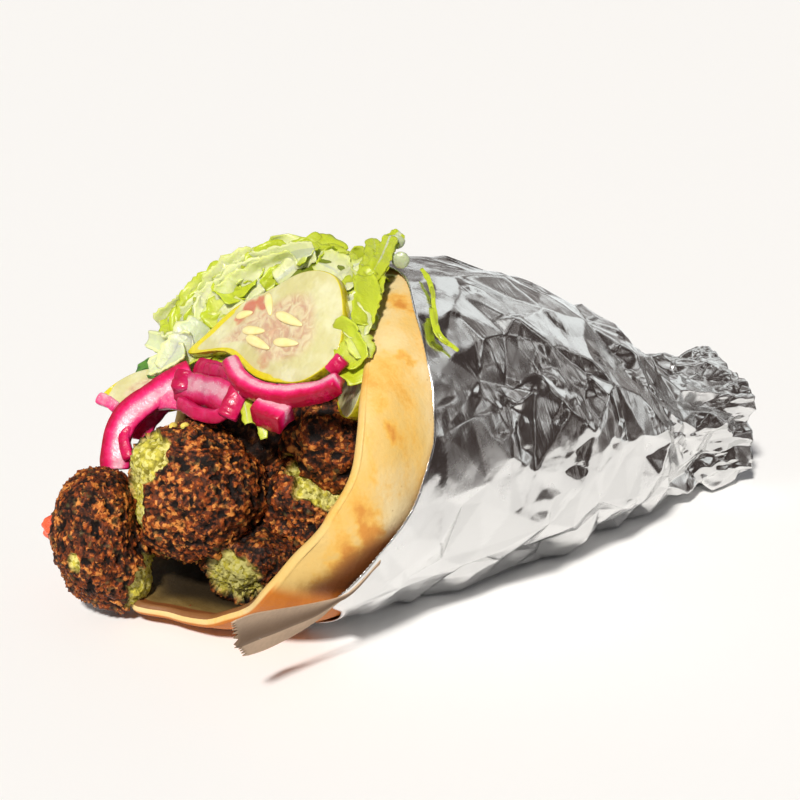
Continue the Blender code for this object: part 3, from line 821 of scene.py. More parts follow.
def foil_points(x, angle):
    """The crumpled outside of the foil, and a tone for each of its flat pieces, for the painted
    reflection. It is calm near its rim.
    """
    around = angle[0] / (2 * math.pi) * GIRTH
    folds = scattered_corners(**FOLDS)
    turns = folds[:, 1] / GIRTH * 2 * math.pi
    low = smooth_step((80 - np.degrees(turns)) / 40) * smooth_step((np.degrees(turns) - 8) / 12)
    inset = FOIL_START - fold_heights(folds) - FOLD_SAG * low
    flat, tones = spread_flat(x, around, folds, body_points(folds[:, 0], turns, inset))
    smooth = body_points(x, angle, FOIL_START)
    outward = body_points(x, angle, FOIL_START - 1.0) - smooth
    behind = x - rim_at(FOIL_RIM, angle)
    loose = smooth_step((behind - 1) / 14) * (0.35 + 0.65 * smooth_step((behind - 10) / 25))
    small = foil_relief(x, around, np.degrees(angle)) * (0.3 + 0.7 * loose)
    out = smooth + (flat - smooth) * loose[:, :, None] + outward * small[:, :, None]
    out[:, :, 0] = x
    out[:, :, 2] = np.maximum(out[:, :, 2], 0.0)
    return out, tones


def foil_finish():
    made = Finish("foil", roughness=0.2, metallic=1.0)
    place = made.place()
    flat = made.add("CombineXYZ", x=made.read("run"), y=made.read("side"))
    scuffs = made.noise(place, 120, detail=4, roughness=0.65)
    streaks = made.noise(made.stretch(flat, (0.12, 1.0, 1.0)), 900, detail=3)
    facet = made.read("facet")
    dull = made.step(scuffs, 0.42, 0.75)
    tint = hue("foil")
    # Painted reflection: each flat piece of foil is made lighter or darker by its tone, as if it
    # mirrored a different part of the room; the tone also changes its roughness.
    return made.use(
        base_color=made.mix(facet, tuple(value * 0.82 for value in tint), tint),
        roughness=0.07 + facet * facet * 0.16 + dull * 0.10 + streaks * 0.06,
        normal=made.bump(streaks * 0.05 + scuffs * 0.08, 0.001, 1.0),
    )


def paper_finish():
    made = Finish("paper", roughness=0.75)
    place = made.place()
    fibres = made.noise(made.stretch(place, (1.0, 0.3, 1.0)), 900, detail=3)
    cloud = made.noise(place, 60, detail=2)
    tint = hue("paper")
    dim = tuple(value * 0.82 for value in tint)
    flat = made.mix(made.step(cloud * 0.6 + fibres * 0.4, 0.35, 0.65), dim, tint)
    # Painted shade: the paper darkens along the flap's fold.
    return made.use(
        base_color=made.mix(made.read("valley") * 0.85, flat, (0.11, 0.055, 0.022)),
        normal=made.bump(fibres, 0.0002, 0.3),
    )


def tail_rings(last):
    """The tail's end: rings that shrink into the crushed middle."""
    middle = last.mean(axis=0)
    rings = []
    for step in range(1, TAIL_RINGS + 1):
        shrink = math.cos(step / (TAIL_RINGS + 1) * math.pi / 2) ** 0.8
        ring = middle + (last - middle) * shrink
        crush = noise_at(ring, 5.0, 3) * 2.4 + noise_at(ring, 2.2, 4) * 1.1
        ring[:, 0] = TAIL_X + crush * (1 - shrink * 0.4) - 1.5 * (1 - shrink)
        rings.append(ring)
    return np.array(rings)


def foil_lining(outer, x, angle):
    """The paper side: close to the foil at the rim, then a plain lining back to the neck."""
    near_x = x[:LINED_ROWS]
    angles = np.broadcast_to(angle, near_x.shape)
    inward = body_points(near_x, angles, 1.0) - body_points(near_x, angles, 0.0)
    near = outer[:LINED_ROWS] + inward * FOIL_SHEET
    depth = np.linspace(0.06, 1, LINING_ROWS)[:, None]
    lining_x = near_x[-1:] + (LINING_END - near_x[-1:]) * depth
    angles = np.broadcast_to(angle, lining_x.shape)
    inset = LINING_INSET[0] + LINING_INSET[1] * smooth_step(depth * 1.8)
    return np.concatenate((near, body_points(lining_x, angles, inset)))


def foil_grain(outside, angle):
    """How far each point lies along and across the folds, in metres, for the fine streaks."""
    around = np.broadcast_to(angle / (2 * math.pi) * GIRTH, outside.shape[:2])
    flat = np.stack((outside[:, :, 0], around), axis=-1).reshape(-1, 2)
    run = np.array(FOLD_RUN) / np.linalg.norm(FOLD_RUN)
    return (flat @ np.array(((run[0], -run[1]), (run[1], run[0])))).T * MM


def build_foil():
    """The paper-backed foil: rim teeth, folds, a crushed neck and the tail's end."""
    turn = np.linspace(0, 2 * math.pi, FOIL_ROUND, endpoint=False)[None, :]
    closer = math.radians(FOIL_CLOSER)
    angle = turn - FOIL_CROWD * (np.sin(turn - closer) + math.sin(closer))
    rim = rim_at(FOIL_RIM, angle)
    x = rim + (TAIL_X - rim) * np.linspace(0, 1, FOIL_ROWS)[:, None]
    outer, tones = foil_points(x, np.broadcast_to(angle, x.shape))
    teeth = np.where(np.arange(FOIL_ROUND) % 2 == 0, sizes().foil_tooth / MM, 0.0)
    outer[0, :, 0] -= teeth * (1.0 - 0.75 * smooth_step((np.degrees(angle[0]) - 75) / 25))
    outside = np.concatenate((outer, tail_rings(outer[-1])))
    inner = foil_lining(outer, x, angle)

    points = np.concatenate((outside.reshape(-1, 3), inner.reshape(-1, 3),
                             [outside[-1].mean(axis=0), inner[-1].mean(axis=0)]))
    start = len(outside) * FOIL_ROUND
    ring = np.arange(FOIL_ROUND)
    faces = strip_faces(len(outside), FOIL_ROUND)
    faces += fan_faces((start - FOIL_ROUND + ring).tolist(), len(points) - 2)
    lining_faces = [face[::-1] for face in strip_faces(len(inner), FOIL_ROUND, start)]
    back = start + (len(inner) - 1) * FOIL_ROUND + ring
    lining_faces += fan_faces(back.tolist(), len(points) - 1, flip=True)
    beside = (ring + 1) % FOIL_ROUND
    edge = np.stack((start + ring, start + beside, beside, ring), axis=-1).tolist()
    piece = new_object("foil_sheet", points, faces + lining_faces + edge,
                       [foil_finish(), paper_finish()])
    run, side = foil_grain(outside, angle)
    # the tones are painted reflection; the paper's painted shade is none on the sleeve
    for name, values, rest in (("facet", tones, 0.5), ("valley", (), 0.0), ("run", run, 0.0),
                               ("side", side, 0.0)):
        filled = np.full(len(points), rest)
        filled[:np.size(values)] = np.ravel(values)
        set_attribute(piece, name, filled)
    index = np.zeros(len(piece.data.polygons), np.int32)
    index[len(faces):len(faces) + len(lining_faces)] = 1
    piece.data.polygons.foreach_set("material_index", index)
    face_outwards(piece)
    return place_piece(piece, "foil", "foil_wrap")


# ---------------------------------------------------------------- bread

PITA_ROUND = 300        # points round the bread
PITA_OUT_ROWS = 46
PITA_LIP_ROWS = 10
PITA_IN_ROWS = 30
PITA_INSET = 1.5
PITA_BACK = 59          # the closed end of the bread
POCKET_BACK = -20       # and of its pocket
BODY_RADIUS = 51
PITA_NOSE = 2.2         # the outer face bends in this much towards the rim
PITA_ROLL = 12          # over this length
PITA_SINK = 5.5         # how far the bread keeps in under the folds of the foil


def pita_finish():
    made = Finish("bread", roughness=0.6)
    place = made.place()
    patches = made.noise(made.stretch(place, (1.0, 0.55, 0.4), (0.0, 0.5, 0.3)), 62, detail=5,
                         roughness=0.62, distortion=0.4)
    streaks = made.noise(made.stretch(place, (1.6, 0.6, 0.35), (0.0, 0.6, 0.0)), 150, detail=4,
                         roughness=0.6)
    freckles = made.cells(place, 420)
    cloud = made.noise(place, 35, detail=2)
    toast = made.read("toast")
    grit = made.noise(place, 900, detail=3, roughness=0.7)
    mottle = (patches - 0.5) * 0.75 + streaks * 0.30 + grit * 0.20 + 0.25
    # toast holds the real toast and, on the bread's lower near side, painted shade as well
    golden = made.step(mottle + toast * 0.30, 0.44, 0.72)
    toasted = made.step(mottle + toast * 0.24, 0.56, 0.86)
    pale = made.mix(made.step(cloud, 0.35, 0.7), hue("bread"), (0.77, 0.62, 0.34))
    warm = made.mix(golden * 0.85, pale, (0.78, 0.44, 0.070))
    browned = made.mix(toasted * 0.9, warm, hue("toast"))
    # Painted shadow: the bread blends to near-black brown on its lower near side where it runs in
    # under the foil.
    browned = made.mix(made.read("dark") * made.step(mottle + made.read("dark") * 0.4, 0.4, 0.8),
                       browned, (0.14, 0.040, 0.006))
    dots = (1.0 - made.step(freckles, 0.05, 0.16)) * made.step(cloud, 0.52, 0.62) * 0.6
    spotted = made.mix(dots, browned, (0.33, 0.13, 0.03))
    under = made.mix(made.read("under"), spotted, made.mix(streaks, (0.64, 0.20, 0.003),
                                                           (0.36, 0.085, 0.002)))
    # The pocket's floor: its colours are darkened partly for the oil in it and partly as painted
    # shade from the filling above, and it blends to near black further in, painted shade deep in
    # the pocket.
    floor = made.mix(made.step(cloud * 0.6 + streaks * 0.4, 0.38, 0.62), (0.13, 0.075, 0.016),
                     (0.28, 0.185, 0.062))
    floor = made.mix(made.read("depth"), floor, (0.022, 0.013, 0.004))
    inside = made.mix(made.read("inside"), under, floor)
    line = made.step(made.read("line") + (streaks - 0.5) * 1.1, 0.50, 0.75)
    inside = made.mix(line * 0.9, inside, (0.17, 0.045, 0.008))
    height = made.noise(place, 700, detail=3) * 0.6 + made.noise(place, 180, detail=3)
    return made.use(base_color=inside, roughness=0.55 + toasted * 0.12,
                    normal=made.bump(height, 0.0009, 0.35))


def bread_lumps(points):
    flat = points.reshape(-1, 3)
    rise = noise_at(flat, 15, 5) * 0.55 + noise_at(flat, 5, 6) * 0.18
    return rise.reshape(points.shape[:2])


def bread_sheet(angle, rim):
    """Rows of points of the bread's outer face, its rounded lip and its pocket."""
    wall = sizes().bread_thickness / MM
    x = rim + (PITA_BACK - rim) * (np.linspace(1, 0, PITA_OUT_ROWS) ** 1.7)[:, None]
    angles = np.broadcast_to(angle, x.shape)
    fade = smooth_step((rim + 40 - x) / 30)
    bulge = bread_lumps(body_points(x, angles, PITA_INSET)) * fade - 0.4 * fade
    sink = PITA_SINK * smooth_step((x - np.maximum(rim_at(FOIL_RIM, angles), rim) - 4) / 25)
    curl = rim_at(PITA_CURL, angle)
    nose = PITA_NOSE + curl
    ease = np.clip(1 - (x - rim) / (PITA_ROLL + 2 * curl), 0, 1) ** 2.2
    outer = body_points(x, angles, PITA_INSET + sink + nose * ease - np.minimum(bulge, 0.5))

    first = np.arctan(2.2 * nose / (PITA_ROLL + 2 * curl))
    bend = first + (math.pi - first) * np.linspace(0, 1, PITA_LIP_ROWS + 2)[1:-1, None]
    radius = (wall - PITA_NOSE) / (1 + np.cos(first))
    lip_x = rim - radius * (np.sin(bend) - np.sin(first))
    lip = body_points(lip_x, np.broadcast_to(angle, lip_x.shape),
                      PITA_INSET + nose + radius * (np.cos(first) - np.cos(bend)))

    back = rim + radius * np.sin(first)
    x = back + (POCKET_BACK - back) * (np.linspace(0, 1, PITA_IN_ROWS) ** 1.2)[:, None]
    angles = np.broadcast_to(angle, x.shape)
    lumps = bread_lumps(body_points(x, angles, PITA_INSET + wall))
    ease = np.clip(1 - (x - back) / 24, 0, 1) ** 1.6
    inner = body_points(x, angles, PITA_INSET + wall + curl * ease + lumps * 0.8)
    return outer, lip, inner


def bread_toast(sheet, degrees, rim):
    """How toasted the bread is: its top band, the ragged spots, and its low band, which is partly
    toast and partly painted shade on the bread's lower near side.
    """
    # the low band: partly toast, partly painted shade
    low = smooth_step((88 - degrees) / 30) * smooth_step((degrees - 10) / 20)
    crown = smooth_step((degrees - 115) / 20) * smooth_step((175 - degrees) / 10)
    toast = low * 0.6 + crown * 0.3
    ragged = noise_at(sheet.reshape(-1, 3), 4.5, 8) * 1.3 + noise_at(sheet.reshape(-1, 3), 1.8, 9)
    ragged = ragged.reshape(toast.shape)
    for x_spot, turn, reach in TOAST_SPOTS:
        aside = np.radians(degrees - turn) * BODY_RADIUS
        far = np.hypot((sheet[:, :, 0] - x_spot) * 1.35, aside * 0.75) / reach + ragged
        toast = np.maximum(toast, 1.25 * smooth_step((1.9 - far) / 1.7))
    return toast * smooth_step((sheet[:, :, 0] - rim) / 9)


def bread_marks(angle, rim, outer, lip, inner):
    """The numbers that the bread's material reads, for each point of its rows."""
    sheet = np.concatenate((outer, lip, inner))
    x = sheet[:, :, 0]
    lip_start, pocket_start = len(outer), len(outer) + len(lip)
    degrees = np.degrees(np.broadcast_to(angle, x.shape))
    inside = np.zeros(x.shape)
    inside[pocket_start:] = 1.0
    # painted shade: the pocket darkens further in from the rim
    depth = inside * smooth_step((x - rim - 2) / 11)
    under = smooth_step((64 - degrees) / 8) + smooth_step((degrees - 320) / 12)
    under[lip_start + 3:] = 0.0
    line = np.zeros(x.shape)
    line[lip_start + 6:pocket_start + 2] = 1.0
    line *= smooth_step((60 - np.minimum(degrees, 360 - degrees)) / 20)
    # painted shadow where the bread runs in under the foil's rim on its lower near side
    near_foil = smooth_step((x - rim_at(FOIL_RIM, angle) + 13) / 13)
    dark = near_foil * smooth_step((100 - degrees) / 22) * smooth_step((degrees - 30) / 20)
    dark[lip_start:] = 0.0
    return dict(inside=inside, depth=depth, under=under, line=line,
                toast=bread_toast(sheet, degrees, rim), dark=dark)


def build_pita():
    """The folded pita: outer face, rounded rim and the pocket that holds the filling."""
    angle = np.linspace(0, 2 * math.pi, PITA_ROUND, endpoint=False)[None, :]
    wavy = np.stack((np.cos(angle[0]) * 50, np.sin(angle[0]) * 50, angle[0] * 0), axis=-1)
    rim = rim_at(PITA_RIM, angle) + noise_at(wavy, 14, 2)[None, :] * 1.3
    parts = bread_sheet(angle, rim)
    points, faces = close_tube(np.concatenate(parts))
    piece = new_object("pita_bread", points, faces, [pita_finish()])
    for name, values in bread_marks(angle, rim, *parts).items():
        set_tube_attribute(piece, name, values, 0.0, float(name in ("inside", "depth")))
    face_outwards(piece)
    return place_piece(piece, "bread", "pita")


# ---------------------------------------------------------------- falafel

def falafel_finish():
    made = Finish("falafel", roughness=0.5, specular_ior_level=0.22)
    place = made.place()
    height = made.read("height")
    crumb = made.read("crumb")
    grain = made.noise(place, 1100, detail=3, roughness=0.65)
    patch = made.noise(place, 130, detail=3)
    chip = made.lot(place, 950)
    lot = chip * 0.5 + made.read("tint") * 0.32 + patch * 0.36 + (grain - 0.5) * 0.35
    crust = made.add("ValToRGB", dict(stops=(
        (0.28, (0.024, 0.008, 0.004)), (0.46, (0.12, 0.030, 0.009)),
        (0.60, hue("crust")), (0.72, (0.40, 0.088, 0.013)),
        (0.86, (0.70, 0.26, 0.055)))), i0=lot)
    herbs = made.step(made.lot(place, 610), 0.90, 0.93) * 0.7
    crust = made.mix(herbs, crust, (0.075, 0.065, 0.022))
    # The crust's low places between its grains blend to the near-black pit colour: partly the
    # crust's own dark crevices, partly painted shade in them.
    lift = made.step(height + (grain - 0.5) * 0.5, 0.14, 0.52)
    crust = made.mix(lift, hue("pit"), crust)
    # The crumb is darker olive in its low places: partly its own colour, partly painted shade.
    inside = made.mix(made.step(height + (grain - 0.5) * 0.7, 0.15, 0.75),
                      (0.17, 0.145, 0.010), hue("crumb"))
    inside = made.mix(made.step(chip * 0.5 + patch, 0.62, 0.85) * 0.75, inside,
                      (0.80, 0.74, 0.26))
    oil = made.step(made.noise(place, 380, detail=2), 0.46, 0.62)
    # Painted shade: balls that lie in the others' shadow are blended towards black.
    shown = made.mix(made.read("char"), made.mix(crumb, crust, inside), (0.006, 0.003, 0.002))
    return made.use(
        base_color=shown,
        roughness=0.66 - oil * lift * 0.42,
        normal=made.bump(grain + chip * 0.5, 0.0007, 0.8),
    )


def broken_share(out, breaks, seed):
    """How far a direction lies inside a broken place, 0 to 1, and how deep that place is."""
    share = np.zeros(len(out))
    depth = np.zeros(len(out))
    ragged = noise_at(out, 0.22, seed + 20) * 0.16 + noise_at(out, 0.08, seed + 21) * 0.06
    for way, half_angle, sunk in breaks:
        way = np.array(way) / np.linalg.norm(way)
        off = np.arccos(np.clip(out @ way, -1, 1)) / math.radians(half_angle)
        here = smooth_step((1.0 - off - ragged * 1.6) / 0.16)
        depth = np.where(here > share, sunk, depth)
        share = np.maximum(share, here)
    return share, depth


def bulge_rise(out, bulges):
    """How far the ball's smooth shape is pushed out along each direction, in millimetres."""
    rise = np.zeros(len(out))
    for way, half_angle, height in bulges:
        way = np.array(way) / np.linalg.norm(way)
        off = np.arccos(np.clip(out @ way, -1, 1)) / math.radians(half_angle)
        rise += height * smooth_step(1.0 - off)
    return rise


def crust_relief(local, seed):
    """How far the crust stands out in grains, and the crumb in millimetres, and a number for
    each grain."""
    bent = local + noise_at(local, 2.4, seed + 2)[:, None] * 0.5
    near, second, mark = cells_at(bent, 1.75, seed)
    grains = smooth_step((second - near) / 0.45) * (0.25 + 0.75 * mark)
    near_fine, second_fine, part = cells_at(local, 0.95, seed + 3)
    fine = smooth_step((second_fine - near_fine) / 0.6) * (0.4 + 0.6 * part)
    rough = noise_at(local, 0.7, seed + 4)
    near_wide, second_wide, lot = cells_at(bent, 4.0, seed + 8)
    crags = smooth_step((second_wide - near_wide) / 0.5) * (0.2 + 0.8 * lot)
    relief = grains * 0.50 + fine * 0.42 + rough * 0.30 + crags * 0.34 - 0.45
    pits = smooth_step((noise_at(local, 2.6, seed + 6) - 0.26) / 0.22)
    relief -= pits * 0.55
    crumb_near, _, _ = cells_at(local, 2.6, seed + 7)
    crumb_rise = (0.55 - crumb_near) * 1.5 + (fine - 0.4) * 1.0 + rough * 0.5 - pits * 0.5
    return relief, crumb_rise, mark


def build_falafel(name, material, at, size, level, seed, breaks, bulges=(), char=0.0):
    """One ball: a round primitive with a grainy crust, broken open to its crumb in places."""
    select_none()
    bpy.ops.mesh.primitive_ico_sphere_add(subdivisions=level, radius=1.0)
    piece = bpy.context.object
    piece.name = piece.data.name = name + "_ball"
    out = read_points(piece)
    out /= np.linalg.norm(out, axis=1)[:, None]
    local = out * np.array(size)
    share, depth = broken_share(out, breaks, seed)
    lumps = noise_at(local, 14, seed) * 2.2 + noise_at(local, 6.5, seed + 1) * 1.3
    relief, crumb_rise, mark = crust_relief(local, seed)
    crust_rise = relief * sizes().crust_grain / MM
    rise = (lumps + bulge_rise(out, bulges) + crust_rise * (1 - share)
            + share * (crumb_rise * 0.8 - depth))
    local = local + out * rise[:, None]
    write_points(piece, turned(local, VIEW_TURN) + np.array(at))
    piece.data.materials.append(material)
    piece.data.shade_smooth()
    level_share = np.where(share > 0.5, (crumb_rise + 1.2) / 2.2, (relief + 0.62) / 1.15)
    set_attribute(piece, "height", np.clip(level_share, 0, 1))
    set_attribute(piece, "crumb", share)
    set_attribute(piece, "tint", mark)
    # how much painted shade darkens this ball
    set_constant(piece, "char", char)
    return place_piece(piece, "falafel", name)


# ---------------------------------------------------------------- onion

EDGE_ROUND = 0.42       # radius of a strip's edges
CORNER_TURNS = (8, 45, 82)              # points on a rounded edge, in degrees
FLAT_STOPS = (-0.45, 0.0, 0.45)         # and on the wide face, in half widths
STRIP_STEP = 0.7        # between the rings of points along a strip


def onion_finish():
    made = Finish("onion", roughness=0.25, coat_weight=0.1, coat_roughness=0.06,
                  specular_ior_level=0.3,
                  subsurface_weight=0.25, subsurface_radius=(0.003, 0.0008, 0.0012),
                  subsurface_scale=0.5)
    place = made.place()
    lines = made.noise(made.stretch(place, (1.0, 0.35, 1.0), (0.0, 0.0, 0.6)), 800, detail=3)
    cloud = made.noise(place, 260, detail=4, roughness=0.6)
    cells = made.cells(place, 1400)
    depth = made.read("skin") + (cloud - 0.5) * 0.6 + (lines - 0.5) * 0.3
    shown = made.add("ValToRGB", dict(stops=(
        (0.05, (0.76, 0.38, 0.46)), (0.20, hue("onion_flesh")),
        (0.36, (0.74, 0.045, 0.20)), (0.62, hue("onion_skin")),
        (0.95, (0.34, 0.001, 0.022)))), i0=depth)
    # Painted sparkle: pale dots on the cut flesh stand in for glints of light.
    sparkle = (1.0 - made.step(cells, 0.10, 0.30)) * (1.0 - made.step(depth, 0.15, 0.45))
    shown = made.mix(sparkle * 0.55, shown, (0.93, 0.80, 0.82))
    # Painted shade: strips that lie in the filling's shade are blended towards near black.
    return made.use(
        base_color=made.mix(made.read("deep") * 0.75, shown, (0.12, 0.001, 0.010)),
        roughness=0.18 + cloud * 0.25,
        normal=made.bump(lines * 0.7 + cloud * 0.8 + cells * 0.15, 0.0005, 0.5),
    )




def strip_outline(wide, thick):
    """A rounded oblong as shares of its half width and half thickness."""
    across, over = wide / 2, thick / 2
    edge = min(EDGE_ROUND, over * 0.8)
    corner = [(across - edge * (1 - math.cos(math.radians(turn))),
               over - edge * (1 - math.sin(math.radians(turn)))) for turn in CORNER_TURNS]
    top = [(-stop * across, over) for stop in FLAT_STOPS]
    left = [(-x, y) for x, y in reversed(corner)]
    half = corner + top + left + [(-across, 0.0)]
    outline = np.array(half + [(-x, -y) for x, y in half])
    return outline[:, 0] / across, outline[:, 1] / over


def strip_points(path, width, thick, face, steps, ripple, seed):
    """Rings of points along a strip with rounded edges, whose wide face looks along face."""
    rings = []
    wide, over = strip_outline(width, thick)
    for step in range(steps + 1):
        share = step / steps
        centre, side, up = axes_along(path, share, 0.02, face)
        wobble = noise.noise(Vector((share * 7, seed * 3.7, 0))) * ripple
        reach = width / 2 * (1 + 0.12 * noise.noise(Vector((share * 5, 9, seed))))
        end = 1.0 - 0.12 * abs(2 * share - 1.0) ** 16
        cup = 0.10 * width * (wide ** 2 - 0.4)
        ring = (np.array(centre) + np.outer(wide * reach * end, side)
                + np.outer(over * thick / 2 * end + wobble - cup, up))
        rings.append(ring)
    return np.array(rings), wide, over


def onion_mesh(name, material, path, width, thick, face, skin, deep=0.0):
    """A strip. skin is the side that its skin is on: 1, -1, 0 for little or 2 for all."""
    seed = sum(path[0]) + width
    _, steps = steps_along(path, STRIP_STEP)
    rings, wide, over = strip_points(path, width, thick, face, steps, 0.5, seed)
    points, faces = close_tube(rings)
    points += noise_at(points, 1.6, seed)[:, None] * 0.12
    piece = new_object(name, points, faces, [material])
    if abs(skin) == 1:
        edge = 0.95 * smooth_step((wide * skin + 0.25) / 1.2)
        far_edge = 0.5 * smooth_step((-wide * skin - 0.5) / 0.4)
        share = np.maximum(edge + far_edge, 0.72 * smooth_step((-over - 0.2) / 0.4))
    else:
        share = 0.25 + 0.20 * skin + 0.14 * wide
    set_tube_attribute(piece, "skin", np.tile(share, steps + 1), 0.1, 0.1)
    # how much painted shade darkens this strip
    set_constant(piece, "deep", deep * 0.6)
    face_outwards(piece)
    return piece


def build_onions():
    """The named strips, and the smaller ones between them, darkened by painted shade, as one
    piece.
    """
    material = onion_finish()
    for name, strip in ONIONS.items():
        place_piece(onion_mesh(name + "_strip", material, **strip), "onion", name)
    scraps = [onion_mesh("scrap", material, **strip) for strip in ONION_SCRAPS]
    place_piece(join_pieces("onion_scraps", scraps), "onion")


# ---------------------------------------------------------------- pickle

SLICE_ROUND = 120       # points round a slice
SEED_SINK = 0.05
RIND_PLACE = 0.966      # where the rind starts, as a share of the way out
RIND_WIDER = 0.105      # how much wider it shows at the lower left
# Rings across a cut face, as shares of the way out, and over the rind: depth, share.
FACE_RINGS = (0.16, 0.32, 0.48, 0.62, 0.74, 0.84, 0.91, 0.96, 0.985)
RIND_RINGS = ((-0.42, 1.0), (-0.15, 1.006), (0.15, 1.006), (0.42, 1.0))


def pickle_finish():
    made = Finish("pickle", roughness=0.18, coat_weight=0.8, coat_roughness=0.04,
                  subsurface_weight=0.35, subsurface_radius=(0.006, 0.005, 0.002),
                  subsurface_scale=0.6)
    place = made.place()
    rind = made.read("rind")
    core = made.read("core")
    cloud = made.noise(place, 130, detail=3)
    veins = made.noise(place, 300, detail=4, distortion=1.2)
    warts = made.noise(place, 520, detail=2)
    flesh = made.mix(made.step(cloud, 0.35, 0.7), hue("pickle_flesh"), (0.70, 0.68, 0.42))
    middle = made.mix(made.step(veins, 0.35, 0.65), (0.54, 0.32, 0.21), (0.68, 0.58, 0.36))
    flesh = made.mix(made.step(core + (veins - 0.5) * 0.5, 0.2, 0.9) * 0.9, flesh, middle)
    flesh = made.mix(made.step(made.read("blush") + (veins - 0.5) * 0.5, 0.3, 0.8) * 0.85, flesh,
                     (0.56, 0.13, 0.085))
    skin = made.mix(made.step(warts, 0.45, 0.7) * 0.7, hue("pickle_rind"),
                    (0.25, 0.19, 0.004))
    edge = made.mix(made.step(rind, 0.08, 0.3), flesh, (0.70, 0.60, 0.015))
    wet = made.noise(place, 210, detail=2)
    height = veins * (0.06 + core * 0.30) + wet * 0.7 + warts * made.step(rind, 0.3, 0.7) * 0.4
    return made.use(
        base_color=made.mix(made.step(rind, 0.55, 0.8), edge, skin),
        roughness=0.1 + cloud * 0.25,
        normal=made.bump(height, 0.0014, 0.8),
    )


def seed_finish():
    made = Finish("pickle_seed", roughness=0.25, coat_weight=0.4)
    place = made.place()
    cloud = made.noise(place, 400, detail=2)
    return made.use(base_color=made.mix(cloud, (0.84, 0.68, 0.22), (0.86, 0.77, 0.44)),
                    normal=made.bump(cloud, 0.0004, 0.4))



def slice_place(at, lean, swing):
    """From a slice's own axes, (thickness, -across, up), to the working frame."""
    swung = Matrix.Rotation(math.radians(swing), 4, "Z")
    leant = Matrix.Rotation(math.radians(lean), 4, "Y")
    return np.array(Matrix.Translation(at) @ swung @ leant)


def closed_curve(points, count):
    """Points evenly spread over a closed smooth curve through the given 2-D points."""
    total = len(points)
    curve = []
    for step in range(count):
        place = step * total / count
        index = int(place)
        around = [Vector(points[(index + shift) % total]) for shift in (-1, 0, 1, 2)]
        curve.append(tuple(cubic(*around, place - index)))
    return np.array(curve)


def build_pickle(name, material, seed_material, outline, at, lean, swing, thick, bend, seeds,
                 blushes=()):
    """A slice: rounded rind all round, and a wet cut face with a seedy middle."""
    curve = closed_curve(outline, SLICE_ROUND)
    centre = curve.mean(axis=0)
    rings, rind, core = [], [], []
    lower_left = smooth_step((-(curve - centre) @ np.array((0.45, 0.9)) - 4) / 8)
    band = RIND_PLACE - RIND_WIDER * lower_left
    sides = [(-0.5, scale) for scale in FACE_RINGS]
    sides += RIND_RINGS
    sides += [(0.5, scale) for scale in reversed(FACE_RINGS)]
    for depth, scale in sides:
        flat = centre + (curve - centre) * scale
        points = np.stack((np.full(SLICE_ROUND, depth * thick), -flat[:, 0], flat[:, 1]), axis=-1)
        inner = max(0.0, 1.0 - scale / 0.72)
        dent = noise_at(points, 3.2, 4) * 0.8 * inner + 0.35 * inner
        points[:, 0] += np.where(depth < 0, dent, -dent)
        rings.append(points)
        if abs(depth) < 0.45:
            rind.append(np.ones(SLICE_ROUND))
        else:
            rind.append(smooth_step((scale - band) / 0.05) * 0.5)
        core.append(np.full(SLICE_ROUND, smooth_step((0.80 - scale) / 0.4)))
    rings = np.array(rings)
    points, faces = close_tube(rings)
    blush = np.zeros(len(points))
    for across, up, reach, amount in blushes:
        off = np.hypot(-points[:, 1] - across, points[:, 2] - up) / reach
        blush = np.maximum(blush, amount * smooth_step(1.4 - off))
    points[:, 0] += bend * points[:, 1] ** 2
    place = slice_place(at, lean, swing)
    moved = points @ place[:3, :3].T + place[:3, 3]
    piece = new_object(name + "_slice", moved, faces, [material])
    set_tube_attribute(piece, "rind", rind)
    set_tube_attribute(piece, "core", core, 1.0, 1.0)
    set_attribute(piece, "blush", blush)
    face_outwards(piece)
    place_piece(piece, "pickle", name)
    if seeds:
        build_seeds(name + "_seeds", seed_material, seeds, thick, bend, place)
    return piece


def build_seeds(name, material, seeds, thick, bend, place):
    """Flat teardrop seeds, half sunk in the cut face, joined as one mesh."""
    select_none()
    made = []
    for across, up, turn, long in seeds:
        bpy.ops.mesh.primitive_uv_sphere_add(segments=24, ring_count=14, radius=1.0)
        seed = bpy.context.object
        points = read_points(seed)
        taper = 1.0 - 0.35 * smooth_step((points[:, 1] + 1) / 2)
        points = points * np.array((0.75, long / 2, 1.3 + long * 0.045))
        points[:, 2] *= taper
        angle = math.radians(turn)
        cos, sin = math.cos(angle), math.sin(angle)
        y = -(points[:, 1] * cos - points[:, 2] * sin) - across
        z = points[:, 1] * sin + points[:, 2] * cos + up
        x = points[:, 0] - thick / 2 - SEED_SINK + bend * y ** 2
        laid = np.stack((x, y, z), axis=-1)
        write_points(seed, laid @ place[:3, :3].T + place[:3, 3])
        made.append(seed)
    piece = join_pieces(name, made)
    piece.data.materials.append(material)
    piece.data.shade_smooth()
    face_outwards(piece)
    return place_piece(piece, "pickle")


# ---------------------------------------------------------------- lettuce

SHRED_ACROSS = 13       # points across a shred
SHRED_STEP = 0.8        # between its rows of points
LEAF_FACE = (-0.6, -0.55, 0.55)     # most shreds look this way, towards the mouth's corner
LETTUCE = dict(at=(-36, 20, 83), size=(20, 42, 23), turn=26, slope=0.22, core=0.79)
LETTUCE_BEHIND = 7.0    # the core starts this far behind the front pickle
FILL_SHREDS = 90
FILL_STEPS = (-1, -0.3, 0.4, 1)     # where a filling shred's path is measured


